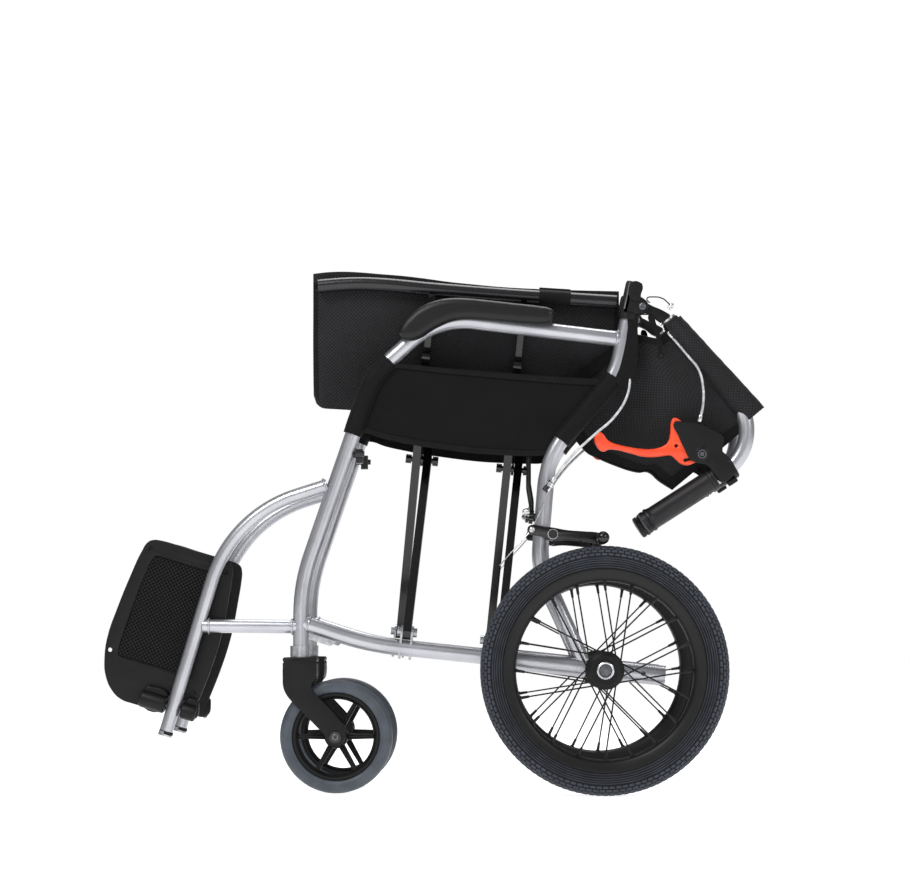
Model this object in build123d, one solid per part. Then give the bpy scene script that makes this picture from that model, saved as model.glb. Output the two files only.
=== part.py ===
"""Folding transit wheelchair, stored folded: side frames together, backrest swung down."""
from build123d import *
from math import acos, cos, degrees, hypot, pi, radians, sin, tan
import os

os.makedirs("parts", exist_ok=True)

# Driving dimensions in millimetres. The chair faces -X, its left side is at -Y, the floor is Z = 0.
FRAME_Y = 80.0            # side frame plane from the middle, folded
TUBE = 22.2               # frame tube diameter
LEG_TUBE = 19.0           # leg rest tube diameter
RAIL_PITCH = 6.0          # the lower rail falls this many degrees towards the rear
LEG_PITCH = 16.6          # the leg rest leans this many degrees from upright

LOWER_ARM = 262.0         # scissor member, lower pivot to middle pivot
UPPER_ARM = 246.0         # scissor member, middle pivot to the end under the seat rail
RAIL_OFFSET = 25.0        # seat rail centre from the member's axis, towards the inside
TUBE_TOP = 152.0          # where the scissor tube ends above the middle pivot
STRUT_FROM = 118.0        # the strut beside its end starts here and runs up to the seat rail
STRUT_DEPTH = 8.0
BRACE_DEPTH = 22.0        # scissor tube, flat oval section
BRACE_WIDTH = 11.5
PIVOT_X, PIVOT_Z = -34.0, 226.0      # front lower pivot of the left member
PAIR_GAP = 132.0          # front pair of scissor tubes to the rear pair
TUBE_GAP = 16.0           # the two tubes that cross, centre to centre
SEAT_RAIL = 19.0

WHEEL_X, WHEEL_Y, WHEEL_R = 242.0, 138.0, 173.0
TYRE_WIDTH = 44.0
RIM_R, RIM_INNER_R = 139.5, 123.0
HUB_R, AXLE_R = 26.5, 6.0
SPOKES, SPOKE_R = 20, 1.1

CASTER_X, CASTER_TRAIL, CASTER_R, CASTER_RIM_R = -185.2, 51.7, 79.5, 61.5
CASTER_WIDTH = 32.0

HINGE_X, HINGE_Z = 300.0, 687.0      # backrest fold pivot
GRIP_R = 16.5
CABLE_R = 2.5
CABLE_Y = 99.0
REAR_RAIL_R = 14.0
SOCKET_R, SOCKET_DEPTH = 12.0, 60.0  # open rear end of the lower rail
BUTTON_IN, BUTTON_R = 31.0, 3.2      # spring button hole in that end's outer side

PITCH_DIR = Vector(cos(radians(RAIL_PITCH)), 0, -sin(radians(RAIL_PITCH)))
PITCH_UP = Vector(sin(radians(RAIL_PITCH)), 0, cos(radians(RAIL_PITCH)))
LEG_UP = Vector(sin(radians(LEG_PITCH)), 0, cos(radians(LEG_PITCH)))
LEG_ACROSS = Vector(cos(radians(LEG_PITCH)), 0, -sin(radians(LEG_PITCH)))
FOLDED_LEAN = degrees(acos((LOWER_ARM**2 - FRAME_Y**2) ** 0.5 / LOWER_ARM))

# Tube centre lines in the side view, as (x, z) corners with a bend radius at each inner corner.
HOOP = [(-184.2, 201), (-184.2, 294.2), (-82.6, 591.5), (8.1, 673.7), (268, 641.6)]
HOOP_BENDS = [255, 118, 115]
POST = [(281, 678), (261.9, 588.7), (166.3, 476.3), (152.9, 321.1), (214.8, 181)]
POST_BENDS = [112, 110, 122]
RAIL = [(-180, 238.3), (-86.8, 208.3), (120, 186.5)]
RAIL_BENDS = [400]
RAIL_REAR = (329.0, 164.5)
LEG = [(-148, 433.5), (-283.6, 390.5), (-374.2, 86.1)]
LEG_BENDS = [182]
BACK = [(336.6, 670.4), (482.6, 495.7), (307.9, 383.3)]
BACK_BENDS = [72]


def part_path(corners, bends, y):
    points = [(x, y, z) for x, z in corners]
    if len(points) == 2:
        return Line(*points)
    return FilletPolyline(*points, radius=bends)


def bent_tube(corners, bends, diameter, y=-FRAME_Y):
    line = part_path(corners, bends, y)
    start = Plane(origin=line @ 0, z_dir=line % 0)
    return sweep(start * Circle(diameter / 2), path=line)


def rod(start, end, radius):
    start, end = Vector(*start), Vector(*end)
    middle = (start + end) * 0.5
    return Plane(origin=middle, z_dir=end - start) * Cylinder(radius, (end - start).length)


def across(x, z, y_low, y_high, radius):
    return rod((x, y_low, z), (x, y_high, z), radius)


def plate(outline, y_low, y_high):
    """A flat shape in the side view, thick from y_low to y_high."""
    face = Plane(origin=(0, y_high, 0), x_dir=(1, 0, 0), z_dir=(0, -1, 0)) * make_face(outline)
    return extrude(face, amount=y_high - y_low)


def poly_plate(points, y_low, y_high, corner=0.0):
    shape = Polyline(*points, close=True)
    if corner:
        face = make_face(shape)
        face = fillet(face.vertices(), corner)
        side = Plane(origin=(0, y_high, 0), x_dir=(1, 0, 0), z_dir=(0, -1, 0))
        return extrude(side * face, amount=y_high - y_low)
    return plate(shape, y_low, y_high)


def bar(a, b, radius, y_low, y_high):
    """A link with round ends between two points of the side view."""
    length = hypot(b[0] - a[0], b[1] - a[1])
    middle = Vector((a[0] + b[0]) / 2, (y_low + y_high) / 2, (a[1] + b[1]) / 2)
    turn = Vector(b[0] - a[0], 0, b[1] - a[1])
    side = Plane(origin=middle, x_dir=turn, z_dir=(0, -1, 0))
    face = side * SlotCenterToCenter(length, radius * 2)
    return extrude(face, amount=(y_high - y_low) / 2, both=True)


def group(*shapes):
    solids = []
    for shape in shapes:
        solids += [Solid(s.wrapped) for s in shape.solids()]
    return Compound(children=solids)


nodes = {}


def both_sides(name, left):
    nodes[name + "_left"] = left
    nodes[name + "_right"] = mirror(left, about=Plane.XZ)


# Side frame: bent tubes, coped where they are welded.
rail_line = Vector(RAIL_REAR[0] - RAIL[-1][0], 0, RAIL_REAR[1] - RAIL[-1][1])
rail_end = Vector(RAIL_REAR[0], -FRAME_Y, RAIL_REAR[1])
rail_way = rail_line.normalized()


def side_tubes():
    hoop = bent_tube(HOOP, HOOP_BENDS, TUBE)
    post = bent_tube(POST, POST_BENDS, TUBE)
    hoop -= post
    axle_hole = across(WHEEL_X, WHEEL_R, -FRAME_Y - 25, -FRAME_Y + 25, AXLE_R)
    floor = rail_end - rail_way * SOCKET_DEPTH
    rear = rod((RAIL[-1][0], -FRAME_Y, RAIL[-1][1]), floor, REAR_RAIL_R)
    socket = rod(floor, rail_end, REAR_RAIL_R) - rod(floor, rail_end, SOCKET_R)
    button = rail_end - rail_way * BUTTON_IN
    socket -= across(button.X, button.Z, -FRAME_Y - 20, -FRAME_Y, BUTTON_R)
    front = bent_tube(RAIL, RAIL_BENDS, TUBE)
    rail = group(front - rear - hoop, rear - axle_hole, socket)
    post -= front
    post -= rear
    leg = bent_tube(LEG, LEG_BENDS, LEG_TUBE) - hoop
    brace = rod((-323.3, -FRAME_Y, 234.7), (-190, -FRAME_Y, 233.3), LEG_TUBE / 2) - leg - hoop
    pin = pin_axis()
    leg -= rod(pin - LEG_ACROSS * 30, pin + LEG_ACROSS * 30, 4.05)
    plug = rod((-374.2, -FRAME_Y, 86.1), (-376, -FRAME_Y, 80), LEG_TUBE / 2 + 0.6)
    return hoop, post, rail, group(leg + brace, plug)


def pin_axis():
    """Middle of the footplate pin, on the leg tube's centre line."""
    return Vector(LEG[-1][0], -FRAME_Y, LEG[-1][1]) + LEG_UP * 36.5


# Scissor frame. Positions are measured along the rail pitch, across, and square to the pitch.
def fold_point(along, y, up):
    return Vector(PIVOT_X, y, PIVOT_Z) + PITCH_DIR * along + PITCH_UP * up


lean = radians(FOLDED_LEAN)
CENTRE_UP = LOWER_ARM * cos(lean)
SEAT_Y = UPPER_ARM * sin(lean) - RAIL_OFFSET * cos(lean)
SEAT_UP = CENTRE_UP + UPPER_ARM * cos(lean) + RAIL_OFFSET * sin(lean)
PAIRS = [0.0, PAIR_GAP]


def brace_tube(along, side):
    """One flat oval tube that leans from the pivot on -side over to +side."""
    low = fold_point(along, -side * FRAME_Y, 0)
    way = (PITCH_UP * cos(lean) + Vector(0, side, 0) * sin(lean)).normalized()
    length = LOWER_ARM + TUBE_TOP
    plane = Plane(origin=low - PITCH_DIR * (BRACE_WIDTH / 2), x_dir=way, z_dir=PITCH_DIR)
    face = Pos(length / 2, 0) * SlotCenterToCenter(length, BRACE_DEPTH)
    return extrude(plane * face, amount=BRACE_WIDTH)


def pitch_rod(along, y, up, half, radius):
    middle = fold_point(along, y, up)
    return rod(middle - PITCH_DIR * half, middle + PITCH_DIR * half, radius)


def seat_rail(side):
    """Bent rail that runs above the two scissor tubes of one member."""
    y = side * SEAT_Y
    line_z = lambda x: PIVOT_Z + SEAT_UP / cos(radians(RAIL_PITCH)) - (x - PIVOT_X) * tan(radians(RAIL_PITCH))
    corners = [(-168, 719.5), (-92, line_z(-92)), (264, line_z(264))]
    return bent_tube(corners, [260], SEAT_RAIL, y)


def strut(along, side):
    """Welded bar beside the top of a scissor tube that carries the seat rail further in."""
    way = (PITCH_UP * cos(lean) + Vector(0, side, 0) * sin(lean)).normalized()
    middle = fold_point(along, 0, CENTRE_UP)
    rail = fold_point(along, side * SEAT_Y, SEAT_UP)
    plane = Plane(origin=middle - PITCH_DIR * 4.5, x_dir=way, z_dir=PITCH_DIR)
    inward = 1 if plane.to_local_coords(rail).Y > 0 else -1
    half = BRACE_DEPTH / 2
    low, high = STRUT_FROM, UPPER_ARM - 3
    face = Pos((low + high) / 2, inward * (half + STRUT_DEPTH / 2 - 0.5)) * Rectangle(high - low, STRUT_DEPTH + 1)
    return extrude(plane * face, amount=9)


def cross_frame():
    tubes = {"a": [], "b": []}
    for pair in PAIRS:
        tubes["a"].append(brace_tube(pair, 1))
        tubes["b"].append(brace_tube(pair - TUBE_GAP, -1))
    bolts_a = []
    out = {}
    for key, side, shift in (("a", 1, 0.0), ("b", -1, -TUBE_GAP)):
        rail = seat_rail(side)
        members = []
        for tube, pair in zip(tubes[key], PAIRS):
            along = pair + shift
            tube -= pitch_rod(along, 0, CENTRE_UP, 30, 4.06)
            tube -= pitch_rod(along, -side * FRAME_Y, 0, 30, 4.06)
            block = strut(along, side) - rail - tube
            members.append(tube + block)
        out[key] = (group(*members), rail)
    for pair in PAIRS:
        middle = pair - TUBE_GAP / 2
        shank = pitch_rod(middle, 0, CENTRE_UP, 17.5, 4.0)
        head = pitch_rod(middle - 19.5, 0, CENTRE_UP, 4.0, 6.5)
        nut = pitch_rod(middle + 19.5, 0, CENTRE_UP, 4.0, 7.0)
        washer = pitch_rod(middle, 0, CENTRE_UP, 1.9, 9.0) - pitch_rod(middle, 0, CENTRE_UP, 3, 4.0)
        bolts_a.append(shank + head + nut)
        bolts_a.append(washer)
    a_tubes, a_rail = out["a"]
    b_tubes, b_rail = out["b"]
    nodes["cross_tubes_a"] = group(a_tubes, *bolts_a)
    nodes["cross_tubes_b"] = b_tubes
    nodes["seat_rail_right"] = a_rail
    nodes["seat_rail_left"] = b_rail


def seat_sling(side):
    """Half of the seat: a bent flap that hangs from its rail, then straight down beside the middle."""
    thick, lean_in, upper, lower = 3.0, radians(25), 100.0, 76.0
    front, length = -134.0, 370.0
    plane = Plane(origin=fold_point(front, side * SEAT_Y, SEAT_UP), x_dir=(0, -side, 0), z_dir=PITCH_DIR)
    down = -1 if plane.to_local_coords(fold_point(front, side * SEAT_Y, SEAT_UP + 1)).Y > 0 else 1
    start = 24.0
    a = (start * sin(lean_in), down * start * cos(lean_in))
    b = (upper * sin(lean_in), down * upper * cos(lean_in))
    c = (b[0], b[1] + down * lower)
    strip = offset_strip([a, b, c], thick / 2)
    return extrude(plane * make_face(Polyline(*strip, close=True)), amount=length)


def offset_strip(points, half):
    """Outline of a flat strip of constant thickness along a path of three points."""
    a, b, c = [Vector(*p) for p in points]
    first, second = (b - a).normalized(), (c - b).normalized()
    n1, n2 = Vector(-first.Y, first.X), Vector(-second.Y, second.X)
    mid = (n1 + n2).normalized() * (half / ((n1 + n2).normalized().dot(n1)))
    outline = [a + n1 * half, b + mid, c + n2 * half, c - n2 * half, b - mid, a - n1 * half]
    return [(p.X, p.Y) for p in outline]


def clevis(along):
    """Two ears on the rail with the pivot bolt of one scissor tube."""
    foot = fold_point(along, -FRAME_Y, -23.5)
    parts = []
    for shift in (-8.9, 5.9):
        plane = Plane(origin=foot + PITCH_DIR * shift, x_dir=(0, 1, 0), z_dir=PITCH_DIR)
        ear = Rectangle(18, 30) + Pos(0, 23.5) * Circle(9)
        ear += Pos(0, 15) * Rectangle(18, 17)
        ear = make_hull(ear.edges())
        drop = plane.to_local_coords(foot + PITCH_UP).Y
        if drop < 0:
            ear = mirror(ear, about=Plane.XZ)
        parts.append(extrude(plane * ear, amount=3.0))
    return parts


def frame_hardware(hoop, rail, post, shift):
    """Caster housing, scissor clevises, seat saddle, gusset and link clamp of one side."""
    solids = []
    housing = across_up(CASTER_X, -FRAME_Y, 190.5, 206.5, 14.0)
    housing -= across_up(CASTER_X, -FRAME_Y, 180, 200.6, 6.05)
    solids.append(housing - hoop)
    for pair in PAIRS:
        for ear in clevis(pair + shift):
            ear -= pitch_rod(pair + shift, -FRAME_Y, 0, 20, 4.0)
            solids.append(ear - rail)
        bolt = pitch_rod(pair + shift, -FRAME_Y, 0, 9.4, 4.0)
        bolt += pitch_rod(pair + shift - 11.4, -FRAME_Y, 0, 2.5, 6.5)
        bolt += pitch_rod(pair + shift + 11.4, -FRAME_Y, 0, 2.5, 6.5)
        solids.append(bolt)
    gusset = poly_plate([(-178, 226), (-176, 217), (-142, 206), (-132, 214)], -FRAME_Y - 2, -FRAME_Y + 2)
    solids.append(gusset - rail - hoop)
    return solids


def across_up(x, y, z_low, z_high, radius):
    return rod((x, y, z_low), (x, y, z_high), radius)


def build_saddle(hoop):
    """Cradle on the front post that the opened seat rail drops into."""
    stem = Pos(-103, -FRAME_Y + 15, 476) * Box(10, 12, 20)
    arm = rod((-118, -FRAME_Y, 478), (-103, -FRAME_Y + 16, 478), 5) - hoop
    bolt = rod((-108, -FRAME_Y - 4, 478), (-95, -FRAME_Y - 4, 478), 4) - hoop
    return group(arm + stem, bolt - arm - stem)


def build_arm_pad(hoop):
    top = [(-46.2, 650), (-30, 675.7), (6.8, 695.5), (43.5, 699), (93, 694.1), (153.8, 687), (174, 681)]
    low = [(168, 661), (141, 662), (80, 666), (43.5, 667.7), (14, 659), (-10, 644.6), (-31.4, 639)]
    over = Spline(*top)
    under = Spline(*low)
    outline = over + Line(top[-1], low[0]) + under + Line(low[-1], top[0])
    pad = plate(outline, -108, -64)
    edges = pad.faces().sort_by(Axis.Y)[0].edges() + pad.faces().sort_by(Axis.Y)[-1].edges()
    pad = fillet(edges, 7)
    return pad - hoop


def build_side_panel(hoop, post):
    """Fabric side with a sleeve on the front hoop and one on the back post."""
    sleeve_f = bent_tube(HOOP, HOOP_BENDS, TUBE + 5)
    zone = poly_plate([(-140, 505), (-88, 505), (-30, 606), (-86, 622), (-130, 560)], -100, -60)
    sleeve_f = sleeve_f & zone
    sleeve_r = bent_tube(POST, POST_BENDS, TUBE + 6)
    zone = poly_plate([(165, 497), (205, 482), (282, 580), (240, 602), (170, 520)], -100, -60)
    sleeve_r = sleeve_r & zone
    top = [(-62, 600), (6.7, 601.2), (93, 594.2), (182, 587), (250, 583)]
    low = [(192, 492), (160.9, 476.7), (97.3, 476), (12.4, 485.2), (-44.2, 494.4), (-96, 508)]
    outline = Polyline(*top, *low, close=True)
    sheet = plate(outline, -FRAME_Y - 1.5, -FRAME_Y + 1.5)
    return group(sheet - sleeve_f - sleeve_r - hoop - post, sleeve_f - hoop, sleeve_r - post)


# Backrest hinge, upper tube and grip.
post_top = Vector(284.1, -FRAME_Y, 692.1)
post_way = Vector(0.21, 0, 0.978).normalized()
back_start = Vector(BACK[0][0], -FRAME_Y, BACK[0][1])
back_way = Vector(BACK[1][0] - BACK[0][0], 0, BACK[1][1] - BACK[0][1]).normalized()


def hinge_parts(post):
    block = rod(post_top - post_way * 24, post_top + post_way * 31, 14.5)
    block += rod(post_top - post_way * 24, post_top - post_way * 16, 16.0)
    ear = bar((HINGE_X, HINGE_Z), (post_top.X, HINGE_Z), 8.5, -FRAME_Y - 12, -FRAME_Y + 12)
    block += ear
    block -= post
    slot_plane = Plane(origin=post_top + Vector(0, 6.5, 0), x_dir=(post_way.Z, 0, -post_way.X), z_dir=(0, -1, 0))
    opening = Pos(20.75, 12) * Rectangle(31.5, 53) + Pos(14, 21.5) * Rectangle(45, 34)
    slot = extrude(slot_plane * opening, amount=13)
    block -= slot
    block -= across(HINGE_X, HINGE_Z, -FRAME_Y - 20, -FRAME_Y + 20, 3.0)
    pin = across(HINGE_X, HINGE_Z, -FRAME_Y - 12, -FRAME_Y + 12, 3.0)
    pin += across(HINGE_X, HINGE_Z, -FRAME_Y - 14, -FRAME_Y - 12, 5.0)
    pin += across(HINGE_X, HINGE_Z, -FRAME_Y + 12, -FRAME_Y + 14, 5.0)
    head = rod(back_start, back_start + back_way * 30, 14.5)
    head += bar((HINGE_X, HINGE_Z), (back_start.X - 0.6, back_start.Z + 2.1), 6.5, -FRAME_Y - 6, -FRAME_Y + 6)
    head -= across(HINGE_X, HINGE_Z, -FRAME_Y - 20, -FRAME_Y + 20, 3.06)
    return block, pin, head


def back_parts():
    tube = bent_tube(BACK, BACK_BENDS, TUBE)
    end = Vector(BACK[2][0], -FRAME_Y, BACK[2][1])
    way = Vector(BACK[1][0] - BACK[2][0], 0, BACK[1][1] - BACK[2][1]).normalized()
    grip = rod(end - way * 6, end + way * 111, GRIP_R) + rod(end - way * 8, end + way * 2, GRIP_R + 2.5)
    grip -= rod(end, end + way * 130, TUBE / 2)
    return tube, grip


def lever_parts(tube):
    pivot = (382.4, 476.1)
    cheek = [(343.7, 522), (381.7, 520), (413, 500), (411.2, 479.6), (430, 452), (412, 436), (392, 456), (366, 470)]
    outer = poly_plate(cheek, -97, -93.5, 3.0)
    clamp = rod((428, -FRAME_Y, 460.6), (406, -FRAME_Y, 446.4), 16.8)
    bridge = poly_plate([(400, 480), (412, 480), (430, 452), (412, 437), (396, 452)], -93.5, -FRAME_Y - 6)
    bracket = outer + clamp + bridge - tube
    bracket -= across(pivot[0], pivot[1], -110, -60, 4.0)
    pin = across(pivot[0], pivot[1], -99.5, -82, 4.0) + across(pivot[0], pivot[1], -99.5, -97, 6.5)
    over = Spline((343, 525), (338, 500), (325, 487.5), (300, 484.5), (262, 490), (240, 507))
    tip = ThreePointArc((240, 507), (231.5, 494), (243, 482))
    under = Spline((243, 482), (268, 482.5), (300, 474), (330, 474.5), (352, 463), (374, 462))
    rest = Polyline((374, 462), (392, 470), (390, 484), (356, 526), (343, 525))
    lever = plate(over + tip + under + rest, -92.5, -84.5)
    lever -= across(pivot[0], pivot[1], -110, -60, 4.06)
    lever -= across(346.5, 505, -110, -60, 2.2)
    return bracket, pin, lever


# Wheel brake arm that the cable pulls onto the tyre.
ARM_PIVOT = (171.5, 363.0)
PAD = (240.2, 357.6)


def brake_arm(post):
    y_out, y_in = -108.5, -104.0
    arm = bar((142.3, 369.2), (ARM_PIVOT[0], ARM_PIVOT[1] + 2), 6.8, y_out, y_in)
    arm += bar(ARM_PIVOT, PAD, 6.8, y_out, y_in)
    arm -= across(*ARM_PIVOT, -120, -60, 4.06)
    pad = across(*PAD, -158, y_out, 8.5) + across(*PAD, y_in, y_in + 4, 7.0)
    screw = across(142.3, 369.2, y_out - 3, y_out, 5.0)
    arm = arm + pad
    boss = across(*ARM_PIVOT, -103.5, -FRAME_Y, 9.0) - post
    stud = across(*ARM_PIVOT, -110.5, -103.5, 4.0) + across(*ARM_PIVOT, -113.5, -109.0, 6.5)
    return group(arm, screw), group(boss + stud)


def cable_tube(points, y):
    """A cable housing: straight runs joined by tangent arcs as large as the runs allow."""
    runs = [hypot(b[0] - a[0], b[1] - a[1]) for a, b in zip(points, points[1:])]
    bends = []
    for i in range(1, len(points) - 1):
        before = Vector(points[i][0] - points[i - 1][0], points[i][1] - points[i - 1][1])
        after = Vector(points[i + 1][0] - points[i][0], points[i + 1][1] - points[i][1])
        turn = before.get_angle(after)
        bends.append(0.45 * min(runs[i - 1], runs[i]) / tan(radians(turn / 2)))
    print("cable bend radii", [round(b) for b in bends])
    solid = bent_tube(points, bends, CABLE_R * 2, y)
    length = part_path(points, bends, y).length
    print("cable volume ratio", round(solid.volume / (pi * CABLE_R**2 * length), 4))
    return solid


CABLE_LOWER = [(303, 667), (297, 630), (286, 592), (277.5, 556), (259, 529), (231, 504), (199, 474), (170, 437)]
CABLE_UPPER = [(319, 693), (343, 672), (363, 642), (377, 605), (384.5, 565), (379, 523)]


# Wheels.
def ring(outer, inner, width, y, x, z):
    return across(x, z, y - width / 2, y + width / 2, outer) - across(x, z, y - width, y + width, inner)


def revolved(profile, x, z):
    """Turn a closed (offset along Y, radius) outline about a wheel's axis."""
    points = [(x, y, z + r) for y, r in profile]
    face = make_face(Polyline(*points, close=True))
    return revolve(face, Axis((x, 0, z), (0, 1, 0)), 360)


def tyre_ring(x, y, z, outer, inner, width):
    """Tyre: flat bead at the rim, round shoulders and crown."""
    half, shoulder = width / 2, (outer - inner) * 0.45
    bead = half * 0.62
    a, b = Vector(x, y - bead, z + inner), Vector(x, y + bead, z + inner)
    c, d = Vector(x, y + half, z + inner + shoulder), Vector(x, y - half, z + inner + shoulder)
    crown = ThreePointArc(c, (x, y, z + outer), d)
    face = make_face(Line(a, b) + Line(b, c) + crown + Line(d, a))
    return revolve(face, Axis((x, 0, z), (0, 1, 0)), 360)


def rear_wheel():
    x, z, y = WHEEL_X, WHEEL_R, -WHEEL_Y
    tyre = tyre_ring(x, y, z, WHEEL_R, RIM_R, TYRE_WIDTH)
    w = TYRE_WIDTH / 2
    rim = revolved([(y - w * 0.62, RIM_R), (y - w * 0.62, RIM_INNER_R + 5), (y - 6, RIM_INNER_R),
                    (y + 6, RIM_INNER_R), (y + w * 0.62, RIM_INNER_R + 5), (y + w * 0.62, RIM_R)], x, z)
    hub = revolved([(y - 30, 11), (y - 30, HUB_R - 6), (y - 22, HUB_R), (y - 18, HUB_R), (y - 16, 14),
                    (y + 16, 14), (y + 18, HUB_R), (y + 22, HUB_R), (y + 26, 14), (y + 34, 12),
                    (y + 34, AXLE_R + 0.06), (y - 24, AXLE_R + 0.06), (y - 24, 11)], x, z)
    spokes = []
    for k in range(SPOKES):
        side = 1 if k % 2 else -1
        slant = 52.0 if (k // 2) % 2 else -52.0
        angle = 360.0 / SPOKES * k
        at_rim = radians(angle)
        at_hub = radians(angle + slant)
        hub_r = 22.0
        start = (x + hub_r * cos(at_hub), y + side * 19.9, z + hub_r * sin(at_hub))
        end = (x + (RIM_INNER_R + 1.5) * cos(at_rim), y + side * 2.5, z + (RIM_INNER_R + 1.5) * sin(at_rim))
        spokes.append(rod(start, end, SPOKE_R) - hub - rim)
    axle = across(x, z, y - 30.5, -FRAME_Y + 14.5, AXLE_R) + across(x, z, y - 34, y - 24.3, 10.6)
    axle += across(x, z, y + 34.4, -FRAME_Y - 14.2, 11)
    return tyre, rim, hub, group(*spokes), axle


def caster_wheel():
    x, z, y = CASTER_X + CASTER_TRAIL, CASTER_R, -FRAME_Y
    tyre = tyre_ring(x, y, z, CASTER_R, CASTER_RIM_R, CASTER_WIDTH)
    half = CASTER_WIDTH / 2
    rim = ring(CASTER_RIM_R, CASTER_RIM_R - 9, half * 1.24, y, x, z)
    hub = across(x, z, y - half, y + half, 16)
    rim += hub
    for k in range(6):
        angle = radians(60 * k + 30)
        way = Vector(cos(angle), 0, sin(angle))
        middle = Vector(x, y, z) + way * 35
        spoke = Plane(origin=middle, x_dir=way, z_dir=(0, 1, 0)) * Box(44, 9, 14)
        rim += spoke
    rim -= across(x, z, y - 40, y + 40, 5.06)
    return tyre, rim


def caster_fork():
    x, z = CASTER_X + CASTER_TRAIL, CASTER_R
    stem = across_up(CASTER_X, -FRAME_Y, 186, 199.5, 6.0)
    head = poly_plate([(-208, 190), (-162, 190), (-162, 168), (-208, 168)], -FRAME_Y - 23, -FRAME_Y + 23, 4.0)
    head += across_up(CASTER_X, -FRAME_Y, 186, 190.3, 13.5)
    leg = [(-210, 185), (-163, 185), (-163, 146), (-119, 100), (-118, 66), (-140, 62), (-170, 104), (-210, 147)]
    fork = head + stem
    for low in (-FRAME_Y - 25, -FRAME_Y + 19):
        fork += poly_plate(leg, low, low + 6, 6.0)
    fork -= across(x, z, -FRAME_Y - 30, -FRAME_Y + 30, 5.0)
    axle = across(x, z, -FRAME_Y - 25, -FRAME_Y + 25, 5.0)
    axle += across(x, z, -FRAME_Y - 29, -FRAME_Y - 25, 8.5) + across(x, z, -FRAME_Y + 25, -FRAME_Y + 29, 8.5)
    return group(fork, axle)


# Footplate, swung up flat beside the leg tube.
def footplate():
    """Outline across and along the leg tube, measured from the hinge pin."""
    pin = pin_axis()
    side = Plane(origin=pin, x_dir=LEG_ACROSS, z_dir=(0, -1, 0))
    reach = 217.0
    corners = [(-88, reach), (14, reach), (25, reach - 10), (36, 110), (29, 12), (25, -12),
               (11, -13), (11, 11), (-11, 11), (-11, -13), (-68, -13), (-106, 14), (-122, 66), (-112, 190), (-106, 208)]
    face = make_face(Polyline(*corners, close=True))
    sharp = [v for v in face.vertices() if abs(v.X) > 12]
    face = fillet(sharp, 4.5)
    panel = make_face(Polyline((-92, 196), (-8, 196), (6, 178), (6, 60), (-8, 42), (-84, 42), (-100, 62), close=True))
    panel = fillet(panel.vertices(), 5)
    low, thick = -12.0, 6.0
    body = extrude(side * face, amount=-thick).moved(Location((0, -low, 0)))
    recess = extrude(side * panel, amount=-1.5).moved(Location((0, -low, 0)))
    body -= recess
    knuckles = []
    for start, end in ((-30.0, -9.9), (9.9, 24.0)):
        knuckle = rod(pin + LEG_ACROSS * start, pin + LEG_ACROSS * end, 9.0)
        middle = pin + LEG_ACROSS * ((start + end) / 2) + Vector(0, 7, 0)
        knuckle += Plane(origin=middle, x_dir=LEG_ACROSS, z_dir=(0, -1, 0)) * Box(end - start, 18, 12)
        knuckles.append(knuckle)
    for knuckle in knuckles:
        body += knuckle
    for p, q in ((-101, 200), (-111, 50), (12, 195), (18, 26)):
        centre = pin + LEG_ACROSS * p + LEG_UP * q
        body -= across(centre.X, centre.Z, -FRAME_Y, -FRAME_Y + 30, 3.0)
    body -= rod(pin - LEG_ACROSS * 40, pin + LEG_ACROSS * 40, 4.0)
    bolt = rod(pin - LEG_ACROSS * 30, pin + LEG_ACROSS * 24, 4.0)
    bolt += rod(pin - LEG_ACROSS * 33, pin - LEG_ACROSS * 30, 7.0)
    return group(body, bolt)


def back_sling():
    """Half of the backrest fabric, hinged on the upper tube and folded towards the seat."""
    reach, thick = 200.0, 3.0
    half_span = radians(72)
    inward = Vector(back_way.Z, 0, -back_way.X)
    way = Vector(0, 1, 0) * cos(half_span) + inward * sin(half_span)
    normal = back_way.cross(way)
    plane = Plane(origin=back_start - normal * (thick / 2), x_dir=back_way, z_dir=normal)
    up = plane.to_local_coords(back_start + way).Y
    corners = [(34, 14), (140, 14), (172, 32), (178, 140), (120, 180), (66, reach), (58, reach), (38, 100)]
    face = make_face(Polyline(*[(s, up * d) for s, d in corners], close=True))
    return extrude(plane * face, amount=thick)


def stay_link(post):
    """Bent flat link that swings in as the frame opens."""
    corners = [(142.5, 388), (142.5, 412), (138.5, 436), (138.5, 500)]
    link = bent_tube(corners, [40, 40], 6.0, -FRAME_Y + 17)
    eye = Plane(origin=(142.5, -FRAME_Y + 17, 392), z_dir=PITCH_DIR) * Cylinder(7, 6)
    link += eye
    hole = Plane(origin=(142.5, -FRAME_Y + 17, 392), z_dir=PITCH_DIR) * Cylinder(3.06, 40)
    link -= hole
    lug = Pos(155, -FRAME_Y + 12, 391) * Box(12, 18, 14) - post
    stub = Plane(origin=(146, -FRAME_Y + 17, 391.6), z_dir=PITCH_DIR) * Cylinder(3.0, 18)
    stub += Plane(origin=(136.6, -FRAME_Y + 17, 392.6), z_dir=PITCH_DIR) * Cylinder(6.0, 4)
    return link, lug + stub


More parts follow.
